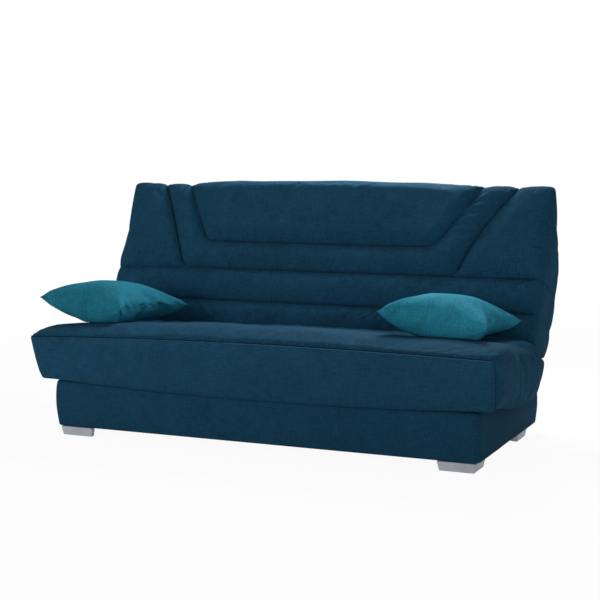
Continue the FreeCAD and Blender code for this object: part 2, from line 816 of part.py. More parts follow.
def back():
    span = ("back_frame_low", "back_frame_high")
    rows = ("back_frame_low", "back_frame_high - rail")
    node("back_side_rails", side_rails("back_rails", "back_rail_at", span))
    node("back_cross_rails", cross_rails("back_cross", "back_rail_at", rows))
    node("back_rail_caps", rail_caps("back_caps", "back_rail_at", span))
    slats, holders = slats_and_holders("back", span)
    node("back_slats", slats)
    node("back_slat_holders", holders)
    plate = hinge_plate("back_plate", "link_at", "fold_y + 138")
    node("back_hinge_plates", both("back_plates", plate))
    ratchet_discs()

    outer = back_form("back_outside", "0")
    inner = back_form("back_inside", "skin")
    slots = hinge_slots("back_slot", ("fold_y - 5", "fold_y + slot_deep"))
    opening = bottom_opening("back_opening", "back_half", ("fold_y", "back_frame_high + 24"))
    node("back_cover", cut("back_shell", outer, inner, slots, opening))
    foam_space = box("back_foam_space", ("-back_half", "back_half"),
                     ("fold_y - 10", "fold_y + back_crown + 10"), ("foam_low", "crease_top"))
    node("back_mattress", cut("back_foam", common("back_foam_whole", inner, foam_space), slots))


def ratchet_discs():
    """Notched discs on the outer faces of the back's plates, which click as the back turns."""
    body = doc.addObject("PartDesign::Body", "ratchet")
    at = "link_at + plate"
    disc_side, notches = 24.0, 16
    hole = [("0", "0", "bore")]
    ring = profile(body, "ratchet_blank", "YZ_Plane", [], hole, offset=at)
    rim = ring.addGeometry(Part.Circle(Vector(), Vector(0, 0, 1), disc_side))
    ring.addConstraint(Sketcher.Constraint("Radius", rim, disc_side))
    pad(body, ring, "3.9")
    notch = profile(body, "ratchet_notch", "YZ_Plane", [
        ("20", "-3"), ("27", "-3"), ("27", "3")])
    feature = pocket(body, notch)
    pattern = body.newObject("PartDesign::PolarPattern", "ratchet_notches")
    pattern.Originals = [feature]
    pattern.Axis = (notch, ["N_Axis"])
    pattern.Angle = 360.0
    pattern.Occurrences = notches
    body.Tip = pattern
    body.Placement = Placement(Vector(0, value("fold_y"), value("hinge_high")), Rotation())
    node("back_ratchet_discs", both("ratchets", body))


# ---------------------------------------------------------------- the two loose pillows

def pillow_form(name, inset):
    """A plain square pillow: two shallow frustums back to back about its seam."""
    halves = []
    for side, turn in (("under", -90), ("over", 90)):
        wedge = doc.addObject("Part::Wedge", f"{name}_{side}")
        bind(wedge, "Ymin", "0")
        bind(wedge, "Ymax", f"pillow_thick / 2 - {inset}")
        for axis in ("X", "Z"):
            bind(wedge, f"{axis}min", f"-pillow_side / 2 + {inset} * 2")
            bind(wedge, f"{axis}max", f"pillow_side / 2 - {inset} * 2")
            bind(wedge, f"{axis}2min", f"-pillow_flat / 2 + {inset}")
            bind(wedge, f"{axis}2max", f"pillow_flat / 2 - {inset}")
        wedge.Placement = Placement(Vector(), Rotation(Vector(1, 0, 0), turn))
        halves.append(wedge)
    return fuse(name, *halves)


def pillow(side):
    """Cover and filling of one pillow, lying on the seat against the back."""
    outer = pillow_form(f"pillow_{side}_outside", "0")
    inner = pillow_form(f"pillow_{side}_inside", "ticking")
    filling = pillow_form(f"pillow_{side}_stuffing", "ticking")
    cover = cut(f"pillow_{side}_shell", outer, inner)
    centre = Vector(value(f"pillow_{side}_at"), value(f"base_front + pillow_{side}_deep"),
                    value("pillow_high"))
    place = Placement(centre, Rotation(Vector(1, 0, 0), -value("pillow_tip")))
    for name, item in ((f"pillow_{side}_cover", cover), (f"pillow_{side}_filling", filling)):
        item.Placement = place
        node(name, item)


# ---------------------------------------------------------------- build, test and write

chest_boards()
chest_covers()
feet()
chest_brackets()
rim_buffers()
swing_link("front_link", "front_link_y")
swing_link("rear_link", "rear_link_y")
carriage()
fold_gusset()
seat()
back()
pillow("left")
pillow("right")
doc.recompute()
raise_back()
doc.recompute()

for item in doc.Objects:
    assert not {"Invalid", "Error"} & set(item.State), f"{item.Name} is {item.State}"
os.makedirs("parts", exist_ok=True)
for name, item in nodes.items():
    shape = item.Shape
    assert not shape.isNull() and shape.isValid() and shape.Solids, f"{name} has no good shape"
    shape.exportStep(f"parts/{name}.step")
print(len(nodes), "nodes written")
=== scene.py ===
"""Visual model of a clic-clac sofa bed: quilted back, seat cushion, covered storage chest, corner feet,
two knife-edge pillows and the swing-link side mechanisms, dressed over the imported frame."""

import math

import bmesh
import bpy
import numpy as np
from mathutils import Matrix, Vector
from mathutils.bvhtree import BVHTree
from mathutils.kdtree import KDTree


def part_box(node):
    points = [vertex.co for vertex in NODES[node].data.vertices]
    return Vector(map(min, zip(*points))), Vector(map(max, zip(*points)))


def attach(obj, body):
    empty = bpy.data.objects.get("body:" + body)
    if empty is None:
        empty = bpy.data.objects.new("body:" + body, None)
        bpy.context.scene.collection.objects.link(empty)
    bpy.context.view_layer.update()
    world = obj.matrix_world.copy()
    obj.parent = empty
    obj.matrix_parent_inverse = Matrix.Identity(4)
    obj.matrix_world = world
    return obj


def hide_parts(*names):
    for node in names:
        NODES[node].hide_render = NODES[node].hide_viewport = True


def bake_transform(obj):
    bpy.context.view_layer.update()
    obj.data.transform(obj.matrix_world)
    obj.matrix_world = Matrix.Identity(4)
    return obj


bl_info = {
    "name": "Clic-clac sofa bed",
    "version": (1, 0, 0),
    "blender": (4, 5, 0),
    "location": "View3D > Sidebar > Sofa bed",
    "description": "Builds the upholstery, finishes and stage of a clic-clac sofa bed over its packed frame",
    "category": "Object",
}

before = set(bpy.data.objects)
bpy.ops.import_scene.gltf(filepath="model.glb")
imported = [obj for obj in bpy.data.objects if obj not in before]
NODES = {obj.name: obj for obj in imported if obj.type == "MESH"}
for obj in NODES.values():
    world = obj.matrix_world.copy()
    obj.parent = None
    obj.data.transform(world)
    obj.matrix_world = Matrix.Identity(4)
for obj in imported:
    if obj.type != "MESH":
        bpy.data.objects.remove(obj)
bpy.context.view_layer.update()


# ---------------------------------------------------------------- places read from the frame

def low(node):
    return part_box(node)[0]


def high(node):
    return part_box(node)[1]


SEAT_LOW = low("seat_cover").z
EDGE_TOP = high("seat_front_panel").z
SEAT_HALF = high("seat_cover").x
SEAT_FRONT = low("seat_front_panel").y
SEAT_REAR = high("seat_cover").y
BACK_HALF = high("back_cover").x
CHEST_FRONT = low("base_cover_front").y
CHEST_REAR = high("base_cover_rear").y
CHEST_HALF = high("base_cover_right").x
CHEST_LOW = low("base_cover_front").z
CHEST_TOP = high("base_cover_front").z
BOLT_LOW, BOLT_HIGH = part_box("fold_bolts")
FOLD = Vector((0, (BOLT_LOW.y + BOLT_HIGH.y) / 2, (BOLT_LOW.z + BOLT_HIGH.z) / 2))
RAISED = math.radians(63.8)

BACK_END = 0.658
BACK_CROWN = 0.027
CEILING = 0.2815
HEM = 0.0355
BACK_FRAME_END = 0.5385
SLAT_PITCH = 0.132
SLAT_WIDTH = 0.053
SLAT_CAMBER = 0.0025
ROLL_FULL = 0.022


# ---------------------------------------------------------------- sizes and colours a user may change

class SofaSizes(bpy.types.PropertyGroup):
    """Sizes of the upholstery."""

    quilt_rise: bpy.props.FloatProperty(
        name="Quilt rise", description="Height of a back panel above its seams",
        default=0.028, min=0, unit="LENGTH")
    quilt_reach: bpy.props.FloatProperty(
        name="Quilt reach", description="Distance from a seam over which a panel rounds up",
        default=0.058, min=0.01, unit="LENGTH")
    seat_roll: bpy.props.FloatProperty(
        name="Seat roll", description="Fullness of the seat's front roll, whose heights grow in step with it",
        default=ROLL_FULL, min=0, unit="LENGTH")
    panel_puff: bpy.props.FloatProperty(
        name="Panel puff", description="Rise of the seat's front panel between its seams",
        default=0.014, min=0, unit="LENGTH")
    chest_bulge: bpy.props.FloatProperty(
        name="Chest bulge", description="How far the padded chest cover stands out at mid height",
        default=0.012, min=0, unit="LENGTH")
    pillow_thick: bpy.props.FloatProperty(
        name="Pillow thickness", description="Thickness of a filled pillow at its middle",
        default=0.17, min=0.02, unit="LENGTH")
    thread: bpy.props.FloatProperty(
        name="Thread pitch", description="Distance between neighbouring threads of the cloth",
        default=0.0016, min=0.0002, unit="LENGTH")


class SofaColours(bpy.types.PropertyGroup):
    """Colours of the cloths and finishes, as linear values."""

    mattress: bpy.props.FloatVectorProperty(
        name="Mattress cloth", description="Petrol blue cloth of the seat and the back",
        default=(0.0108, 0.0590, 0.1095), size=3, subtype="COLOR", min=0, max=1)
    chest: bpy.props.FloatVectorProperty(
        name="Chest cloth", description="Petrol blue cloth round the storage chest",
        default=(0.0092, 0.0520, 0.0975), size=3, subtype="COLOR", min=0, max=1)
    pillow: bpy.props.FloatVectorProperty(
        name="Pillow cloth", description="Teal cloth of the two pillows",
        default=(0.0190, 0.1950, 0.2800), size=3, subtype="COLOR", min=0, max=1)
    foot: bpy.props.FloatVectorProperty(
        name="Foot paint", description="Silver grey of the corner feet",
        default=(0.48, 0.51, 0.555), size=3, subtype="COLOR", min=0, max=1)
    floor: bpy.props.FloatVectorProperty(
        name="Floor", description="Pale studio floor",
        default=(0.86, 0.86, 0.86), size=3, subtype="COLOR", min=0, max=1)


# ---------------------------------------------------------------- materials

class Wire:
    """An output socket that takes part in sums; every operator adds one Math node."""

    def __init__(self, finish, socket):
        self.finish = finish
        self.socket = socket

    def math(self, operation, *others):
        return self.finish.node("ShaderNodeMath", {"operation": operation}, (self, *others))

    def __add__(self, other):
        return self.math("ADD", other)

    def __sub__(self, other):
        return self.math("SUBTRACT", other)

    def __mul__(self, other):
        return self.math("MULTIPLY", other)

    def __rsub__(self, other):
        return self.finish.node("ShaderNodeMath", {"operation": "SUBTRACT"}, (other, self))

    __radd__ = __add__
    __rmul__ = __mul__


class Finish:
    """One material. Constants are set on the shader's own sockets, and only what varies is linked."""

    def __init__(self, name, **constants):
        self.material = bpy.data.materials.new(name)
        self.material.use_nodes = True
        self.tree = self.material.node_tree
        self.tree.nodes.clear()
        self.shader = self.tree.nodes.new("ShaderNodeBsdfPrincipled")
        self.output = self.tree.nodes.new("ShaderNodeOutputMaterial")
        self.tree.links.new(self.shader.outputs[0], self.output.inputs["Surface"])
        for socket, number in constants.items():
            self.shader.inputs[socket.replace("_", " ")].default_value = number

    def node(self, kind, settings=None, inputs=(), out=0):
        """Adds a node: its settings first, then numbers or wires for its inputs by place or by name."""
        made = self.tree.nodes.new(kind)
        for key, setting in (settings or {}).items():
            setattr(made, key, setting)
        for key, given in inputs.items() if isinstance(inputs, dict) else enumerate(inputs):
            if isinstance(given, Wire):
                self.tree.links.new(given.socket, made.inputs[key])
            else:
                made.inputs[key].default_value = given
        return Wire(self, made.outputs[out])

    def place(self):
        return self.node("ShaderNodeTexCoord", out="Object")

    def unrolled(self):
        """The cloth's own map, in metres along the cloth."""
        return self.node("ShaderNodeUVMap", {"uv_map": "Cloth"})

    def stretched(self, vector, scale):
        return self.node("ShaderNodeMapping", None, {"Vector": vector, "Scale": scale})

    def noise(self, vector, scale, detail=2.0, roughness=0.5):
        return self.node("ShaderNodeTexNoise", None,
                         {"Vector": vector, "Scale": scale, "Detail": detail, "Roughness": roughness})

    def axis(self, vector, which):
        return self.node("ShaderNodeSeparateXYZ", None, (vector,), out="XYZ".index(which))

    def fade(self, value, start, end, low=0.0, high=1.0):
        return self.node("ShaderNodeMapRange", None, (value, start, end, low, high))

    def mixed(self, share, first, second):
        """A colour mix; plain colours have three numbers."""
        def colour(given):
            return given if isinstance(given, Wire) else (*given, 1)
        return self.node("ShaderNodeMix", {"data_type": "RGBA"},
                         {0: share, 6: colour(first), 7: colour(second)}, out=2)

    def bump(self, height, depth, strength):
        return self.node("ShaderNodeBump", None,
                         {"Height": height, "Distance": depth, "Strength": strength})

    def link(self, **sockets):
        for name, wire in sockets.items():
            self.tree.links.new(wire.socket, self.shader.inputs[name.replace("_", " ")])
        return self.material


def shade(colour, factor):
    return tuple(channel * factor for channel in colour)


SHEEN_TINT = (0.3, 0.6, 0.75)


def woven(name, colour, pitch, mottle=0.22, sheen=0.01):
    """Plain-weave cloth: crossing threads, slubs along both threads and a soft heathered mottle."""
    f = Finish(name, Roughness=0.9, Sheen_Weight=sheen, Sheen_Roughness=0.5, IOR=1.14)
    f.shader.inputs["Sheen Tint"].default_value = (*SHEEN_TINT, 1)
    cloth = f.unrolled()
    along = f.axis(cloth, "X")
    across = f.axis(cloth, "Y")
    turn = 2 * math.pi / pitch
    warp = (along * turn).math("SINE")
    weft = (across * turn).math("SINE")
    knots = warp * weft
    warp_slub = f.noise(f.stretched(cloth, (1 / 0.0022, 1 / 0.030, 1)), 1.0, 3)
    weft_slub = f.noise(f.stretched(cloth, (1 / 0.030, 1 / 0.0022, 1)), 1.0, 3)
    speck = f.noise(cloth, 190.0, 3, 0.65)
    cloud = f.noise(f.place(), 9.0, 3, 0.55)
    thread = (warp_slub + weft_slub) * 0.5
    streak = (f.noise(f.stretched(cloth, (1 / 0.006, 1 / 0.05, 1)), 1.0, 2)
              + f.noise(f.stretched(cloth, (1 / 0.05, 1 / 0.006, 1)), 1.0, 2)) * 0.5
    tone = ((thread - 0.5) * 1.5 + (streak - 0.5) * 1.3 + (speck - 0.5) * 1.3
            + (cloud - 0.5) * 0.5 + 0.5)
    tone = tone + knots * 0.05
    base = f.mixed(f.fade(tone, 0.1, 0.9),
                   shade(colour, 1 - mottle * 1.6), shade(colour, 1 + mottle * 1.7))
    worn = f.fade(f.noise(f.place(), 2.6, 2), 0.35, 0.75)
    base = f.mixed(worn * 0.22, base, shade(colour, 0.72))
    relief = knots * 0.35 + thread * 0.9 + speck * 0.4
    return f.link(Base_Color=base, Roughness=f.fade(thread, 0.3, 0.7, 0.82, 0.97),
                  Normal=f.bump(relief, 0.0007, 0.6))


# ---------------------------------------------------------------- mesh helpers

def object_from(name, points, faces, maps=None):
    """A mesh object at the origin from arrays, with its cloth map per face corner where one is given."""
    mesh = bpy.data.meshes.new(name)
    mesh.from_pydata(np.asarray(points).tolist(), [], [list(face) for face in faces])
    if maps is not None:
        layer = mesh.uv_layers.new(name="Cloth")
        layer.data.foreach_set("uv", np.asarray(maps, np.float32).ravel())
    mesh.validate()
    mesh.update()
    made = bpy.data.objects.new(name, mesh)
    bpy.context.scene.collection.objects.link(made)
    return made


def vertex_array(mesh):
    flat = np.empty(len(mesh.vertices) * 3)
    mesh.vertices.foreach_get("co", flat)
    return flat.reshape(-1, 3)


def set_vertices(mesh, points):
    mesh.vertices.foreach_set("co", np.asarray(points, np.float32).ravel())
    mesh.update()


def normals_of(mesh):
    flat = np.empty(len(mesh.vertices) * 3)
    mesh.vertex_normals.foreach_get("vector", flat)
    return flat.reshape(-1, 3)


def soften(made, angle=50):
    """Smooth shading, with real corners kept sharp."""
    made.data.shade_smooth()
    made.data.set_sharp_from_angle(angle=math.radians(angle))


def dress(made, material):
    made.data.materials.clear()
    made.data.materials.append(material)


def smooth(value, start, end):
    """0 before start, 1 after end, and a soft step between them."""
    share = np.clip((value - start) / (end - start), 0, 1)
    return share * share * (3 - 2 * share)


def ripple(a, b, wavelength, seed, waves=7):
    """A soft random relief between about -1 and 1."""
    generator = np.random.default_rng(seed)
    total = np.zeros(np.broadcast(a, b).shape)
    for _ in range(waves):
        heading = generator.uniform(0, 2 * math.pi)
        length = wavelength * generator.uniform(0.7, 1.5)
        phase = generator.uniform(0, 2 * math.pi)
        total += np.sin((a * math.cos(heading) + b * math.sin(heading)) * 2 * math.pi / length + phase)
    return total / math.sqrt(waves) / 1.4


def graded(stops, creases, coarse, fine, reach):
    """Positions through every stop, closer together beside the creases."""
    ticks = [stops[0]]
    for start, end in zip(stops, stops[1:]):
        samples = np.linspace(start, end, 600)
        gap = np.min([np.abs(samples - crease) for crease in creases], axis=0)
        spacing = fine + (coarse - fine) * np.clip(gap / reach, 0, 1)
        travel = np.concatenate([[0], np.cumsum(np.diff(samples) / spacing[1:])])
        count = max(1, round(travel[-1]))
        ticks.extend(np.interp(np.arange(1, count + 1) / count * travel[-1], travel, samples))
    return np.array(ticks)


def both_sides(ticks):
    """Positions from the middle outwards, mirrored to both sides."""
    return np.concatenate([-ticks[:0:-1], ticks])


def shell_lattice(xs, ys, zs, closed=False):
    """The outside of a box of lattice cells, open below unless closed.
    Returns lattice places, faces, the cloth map of every face corner, the same map at every place,
    and the lower rim in order."""
    on = np.zeros((len(xs), len(ys), len(zs)), bool)
    on[[0, -1]] = True
    on[:, [0, -1]] = True
    on[:, :, -1] = True
    if closed:
        on[:, :, 0] = True
    ids = np.full(on.shape, -1)
    ids[on] = np.arange(on.sum())
    cells = np.argwhere(on)
    places = np.stack([xs[cells[:, 0]], ys[cells[:, 1]], zs[cells[:, 2]]], 1)

    def quads(sheet, flip):
        corners = [sheet[:-1, :-1], sheet[1:, :-1], sheet[1:, 1:], sheet[:-1, 1:]]
        return np.stack(corners[::-1] if flip else corners, -1).reshape(-1, 4)

    depth = zs[-1] - places[:, 2]
    width, length = places[:, 0], places[:, 1]
    flat = np.stack([width, length], 1)
    right = np.stack([xs[-1] + depth, length], 1)
    left = np.stack([xs[0] - depth, length], 1)
    far = np.stack([width, ys[-1] + depth], 1)
    near = np.stack([width, ys[0] - depth], 1)
    sheets = [
        (quads(ids[:, :, -1], False), flat),
        (quads(ids[-1, :, :], False), right),
        (quads(ids[0, :, :], True), left),
        (quads(ids[:, -1, :], True), far),
        (quads(ids[:, 0, :], False), near),
    ]
    if closed:
        sheets.append((quads(ids[:, :, 0], True), flat))
    faces = np.concatenate([part for part, _ in sheets])
    maps = np.concatenate([where[part].reshape(-1, 2) for part, where in sheets])
    unrolled = flat.copy()
    on_top = cells[:, 2] == len(zs) - 1
    for side, where in (
        (cells[:, 1] == len(ys) - 1, far), (cells[:, 1] == 0, near),
        (cells[:, 0] == len(xs) - 1, right), (cells[:, 0] == 0, left),
    ):
        unrolled[side & ~on_top] = where[side & ~on_top]
    rim = np.concatenate([ids[:, 0, 0], ids[-1, 1:, 0], ids[-2::-1, -1, 0], ids[0, -2:0:-1, 0]])
    return places, faces, maps, unrolled, rim


def rounded(places, lowest, highest, high_radius, low_radius=None):
    """The lattice places drawn in to a box with rounded edges, with radii for its high and low sides."""
    lowest, highest, high_radius = (np.asarray(v) for v in (lowest, highest, high_radius))
    low_radius = high_radius if low_radius is None else np.asarray(low_radius)
    core = np.clip(places, lowest + low_radius, highest - high_radius)
    radius = np.where(places < (lowest + highest) / 2, low_radius, high_radius)
    out = (places - core) / radius
    return core + out / np.maximum(np.linalg.norm(out, axis=1), 1e-9)[:, None] * radius


def recess(points, faces, maps, rim, across, along, floor_z, ceiling, cells):
    """Closes the open underside: a flat hem, four walls and a ceiling above the frame.
    across and along are the opening's limits, and cells is how many lattice steps the rim has each way."""
    ring = points[rim]
    lowest, highest = ring.min(0), ring.max(0)
    inner = np.empty_like(ring)
    inner[:, 0] = np.interp(ring[:, 0], (lowest[0], highest[0]), across)
    inner[:, 1] = np.interp(ring[:, 1], (lowest[1], highest[1]), along)
    count, start = len(rim), len(points)
    hem, top = inner.copy(), inner.copy()
    hem[:, 2] = floor_z
    top[:, 2] = ceiling
    points = np.concatenate([points, hem, top])
    after = np.roll(np.arange(count), -1)
    loops = [rim, start + np.arange(count), start + count + np.arange(count)]
    added = []
    for outer, nearer in zip(loops, loops[1:]):
        added.append(np.stack([outer[after], outer, nearer, nearer[after]], 1))
    extra = [list(face) for block in added for face in block]
    wide, deep = cells
    near = loops[2][:wide + 1]
    far = loops[2][wide + deep:wide * 2 + deep + 1][::-1]
    for place in range(wide):
        face = [near[place], far[place], far[place + 1], near[place + 1]]
        if place == 0:
            face[1:1] = loops[2][:wide * 2 + deep:-1].tolist()
        if place == wide - 1:
            face[3:3] = loops[2][wide + 1:wide + deep][::-1].tolist()
        extra.append(face)
    flat = [points[list(face)][:, :2] for face in extra]
    return points, [list(face) for face in faces] + extra, np.concatenate([maps, *flat])


def gap_to(points, lines):
    """Each point's distance from the nearest of several lines of straight runs."""
    nearest = np.full(len(points), 1e9)
    for line in lines:
        for start, end in zip(line, line[1:]):
            a, run = np.array(start), np.array(end) - np.array(start)
            share = np.clip((points - a) @ run / (run @ run), 0, 1)
            nearest = np.minimum(nearest, np.linalg.norm(points - a - share[:, None] * run, axis=1))
    return nearest


def swell(gap, reach):
    """0 on a seam, rising steeply beside it and level from reach on."""
    return np.sqrt(1 - (1 - np.clip(gap / reach, 0, 1)) ** 2)


def fill_with_air(made, pressure, frames, cap, held=None, slack=0.0, stiffness=12.0, bending=0.4):
    """Swells a closed cloth form by simulation and keeps the result in the mesh.
    held is a weight for each vertex, 1 where the cloth is sewn down, and no point moves more than cap."""
    scene = bpy.context.scene
    start = vertex_array(made.data)
    swollen = made.modifiers.new("Cloth", "CLOTH")
    settings = swollen.settings
    settings.quality = 7
    settings.mass = 0.25
    settings.air_damping = 4.0
    settings.tension_stiffness = stiffness
    settings.compression_stiffness = stiffness
    settings.shear_stiffness = stiffness * 0.5
    settings.bending_stiffness = bending
    settings.use_pressure = True
    settings.uniform_pressure_force = pressure
    settings.shrink_min = -slack
    settings.effector_weights.gravity = 0
    swollen.collision_settings.use_collision = False
    if held is not None:
        group = made.vertex_groups.new(name="sewn")
        for number, weight in enumerate(held.tolist()):
            if weight > 0:
                group.add([number], weight, "REPLACE")
        settings.vertex_group_mass = "sewn"
        settings.pin_stiffness = 1.0
    swollen.point_cache.frame_start = 1
    swollen.point_cache.frame_end = frames
    for frame_number in range(1, frames + 1):
        scene.frame_set(frame_number)
    settled = made.evaluated_get(bpy.context.evaluated_depsgraph_get())
    moved = vertex_array(settled.data) - start
    made.modifiers.remove(swollen)
    made.vertex_groups.clear()
    scene.frame_set(1)
    far = np.linalg.norm(moved, axis=1)
    moved *= (np.minimum(far, cap) / np.maximum(far, 1e-9))[:, None]
    set_vertices(made.data, start + moved)


def creases(a, b, folds):
    """Relief of single folds, each with its place, heading in degrees, length, width and height."""
    total = np.zeros(len(a))
    for place_a, place_b, heading, length, width, height in folds:
        turn = math.radians(heading)
        along = (a - place_a) * math.cos(turn) + (b - place_b) * math.sin(turn)
        across = (b - place_b) * math.cos(turn) - (a - place_a) * math.sin(turn)
        bend = across + 0.15 * along ** 2 / length
        ridge = np.exp(-(bend / width) ** 2) - 0.6 * np.exp(-((bend - 1.6 * width) / width) ** 2)
        total += height * ridge * np.exp(-(along / (length / 2)) ** 4)
    return total


def relaxed(mesh, points, passes, share):
    """Points drawn towards the middle of their neighbours, by a share for each point."""
    ends = np.empty(len(mesh.edges) * 2, np.int32)
    mesh.edges.foreach_get("vertices", ends)
    first, second = ends.reshape(-1, 2).T
    count = np.bincount(ends, minlength=len(points))[:, None]
    for _ in range(passes):
        total = np.zeros_like(points)
        np.add.at(total, first, points[second])
        np.add.at(total, second, points[first])
        points = points + (total / count - points) * share[:, None]
    return points


# ---------------------------------------------------------------- pieces grown by geometry nodes

class Growth:
    """A geometry node tree with named inputs, used once on an object and turned into a plain mesh."""

    def __init__(self, name):
        self.tree = bpy.data.node_groups.new(name, "GeometryNodeTree")
        self.tree.interface.new_socket("Geometry", in_out="INPUT", socket_type="NodeSocketGeometry")
        self.tree.interface.new_socket("Geometry", in_out="OUTPUT", socket_type="NodeSocketGeometry")
        self.start = self.tree.nodes.new("NodeGroupInput")
        self.end = self.tree.nodes.new("NodeGroupOutput")
        self.given = {}

    def size(self, name, value, kind="NodeSocketFloat"):
        """A named input of the tree, with the value this piece gives it."""
        socket = self.tree.interface.new_socket(name, in_out="INPUT", socket_type=kind)
        self.given[socket.identifier] = value
        return self.start.outputs[name]

    def node(self, kind, settings=None, **inputs):
        made = self.tree.nodes.new(kind)
        for key, setting in (settings or {}).items():
            setattr(made, key, setting)
        for key, given in inputs.items():
            socket = made.inputs[int(key[1:])] if key[0] == "_" else made.inputs[key.replace("_", " ")]
            if isinstance(given, bpy.types.NodeSocket):
                self.tree.links.new(given, socket)
            else:
                socket.default_value = given
        return made.outputs[0]

    def math(self, operation, first, second):
        return self.node("ShaderNodeMath", {"operation": operation}, _0=first, _1=second)

    def make(self, name, geometry, material, source):
        """Ends the tree, runs it on the source object and returns the plain result."""
        plain = self.node("GeometryNodeRealizeInstances", Geometry=geometry)
        dressed = self.node("GeometryNodeSetMaterial", Geometry=plain, Material=material)
        self.tree.links.new(dressed, self.end.inputs[0])
        grown = source.modifiers.new("Growth", "NODES")
        grown.node_group = self.tree
        for identifier, value in self.given.items():
            grown[identifier] = value
        settled = source.evaluated_get(bpy.context.evaluated_depsgraph_get())
        mesh = bpy.data.meshes.new_from_object(settled)
        source.modifiers.remove(grown)
        bpy.data.objects.remove(source)
        made = bpy.data.objects.new(name, mesh)
        mesh.name = name
        bpy.context.scene.collection.objects.link(made)
        return made


def runs_object(runs):
    """An object of open edge runs."""
    points, edges = [], []
    for run in runs:
        first = len(points)
        points.extend(tuple(place) for place in run)
        edges.extend((first + step, first + step + 1) for step in range(len(run) - 1))
    mesh = bpy.data.meshes.new("runs")
    mesh.from_pydata(points, edges, [])
    made = bpy.data.objects.new("runs", mesh)
    bpy.context.scene.collection.objects.link(made)
    return made


def sew_stitches(name, runs, pitch, material):
    """One small thread bead after another along each run."""
    g = Growth(name)
    spacing = g.size("Pitch", pitch)
    length = g.size("Stitch length", pitch * 0.66)
    thick = g.size("Thread radius", 0.0007)
    curve = g.node("GeometryNodeMeshToCurve", Mesh=g.start.outputs[0])
    curve = g.node("GeometryNodeResampleCurve", {"mode": "LENGTH"}, Curve=curve, Length=spacing)
    heading = g.node("GeometryNodeInputTangent")
    turn = g.node("FunctionNodeAlignRotationToVector", {"axis": "Z"}, Vector=heading)
    bead = g.node("GeometryNodeMeshUVSphere", Segments=6, Rings=4, Radius=1.0)
    scale = g.node("ShaderNodeCombineXYZ", X=thick, Y=thick, Z=g.math("MULTIPLY", length, 0.5))
    beads = g.node("GeometryNodeInstanceOnPoints", Points=curve, Instance=bead, Rotation=turn, Scale=scale)
    return g.make(name, beads, material, runs_object(runs))


def roll_piping(name, runs, radius, material):
    """A thin round cord of cloth along each run."""
    g = Growth(name)
    thick = g.size("Radius", radius)
    curve = g.node("GeometryNodeMeshToCurve", Mesh=g.start.outputs[0])
    curve = g.node("GeometryNodeResampleCurve", {"mode": "LENGTH"}, Curve=curve, Length=0.008)
    ring = g.node("GeometryNodeCurvePrimitiveCircle", Resolution=8, Radius=thick)
    tube = g.node("GeometryNodeCurveToMesh", Curve=curve, Profile_Curve=ring, Fill_Caps=True)
    made = g.make(name, tube, material, runs_object(runs))
    soften(made, 60)
    return made


def grow_slats(name, count, pitch, length, width, thick, camber, material):
    """A row of bowed slats along X, each running along Y about the origin, with rounded edges."""
    g = Growth(name)
    many = g.size("Count", count, "NodeSocketInt")
    apart = g.size("Pitch", pitch)
    long = g.size("Length", length)
    wide = g.size("Width", width)
    high = g.size("Thickness", thick)
    bow = g.size("Camber", camber)
    half = g.math("MULTIPLY", long, 0.5)
    front = g.node("ShaderNodeCombineXYZ", Y=g.math("MULTIPLY", half, -1.0))
    rear = g.node("ShaderNodeCombineXYZ", Y=half)
    line = g.node("GeometryNodeCurvePrimitiveLine", Start=front, End=rear)
    line = g.node("GeometryNodeResampleCurve", Curve=line, Count=15)
    place = g.node("GeometryNodeInputPosition")
    split = g.tree.nodes.new("ShaderNodeSeparateXYZ")
    g.tree.links.new(place, split.inputs[0])
    share = g.math("DIVIDE", split.outputs["Y"], half)
    rise = g.math("MULTIPLY", bow, g.math("SUBTRACT", 1.0, g.math("MULTIPLY", share, share)))
    line = g.node("GeometryNodeSetPosition", Geometry=line, Offset=g.node("ShaderNodeCombineXYZ", Z=rise))
    section = g.node("GeometryNodeCurvePrimitiveQuadrilateral", Width=wide, Height=high)
    section = g.node("GeometryNodeFilletCurve", {"mode": "POLY"}, Curve=section, Count=3,
                     Radius=g.math("MULTIPLY", high, 0.35))
    slat = g.node("GeometryNodeCurveToMesh", Curve=line, Profile_Curve=section, Fill_Caps=True)
    slat = g.node("GeometryNodeStoreNamedAttribute", {"data_type": "FLOAT_VECTOR", "domain": "POINT"},
                  Geometry=slat, Name="grain", Value=g.node("GeometryNodeInputPosition"))
    first = g.math("MULTIPLY", apart, g.math("MULTIPLY", g.math("SUBTRACT", many, 1.0), -0.5))
    row = g.node("GeometryNodeMeshLine", Count=many, Start_Location=g.node("ShaderNodeCombineXYZ", X=first),
                 Offset=g.node("ShaderNodeCombineXYZ", X=apart))
    slats = g.node("GeometryNodeInstanceOnPoints", Points=row, Instance=slat)
    slats = g.node("GeometryNodeStoreNamedAttribute", {"data_type": "FLOAT", "domain": "INSTANCE"},
                   Geometry=slats, Name="board", Value=g.node("GeometryNodeInputIndex"))
    made = g.make(name, slats, material, runs_object([[(0, 0, 0), (0, 0, 0.001)]]))
    soften(made, 40)
    return made


# ---------------------------------------------------------------- the quilted back

SEAM_LOW = 0.127
SEAM_MID = 0.270
SEAM_INNER = 0.394
SEAM_STEP = 0.012
SEAM_END = 0.004
BACK_OPENING = 0.872
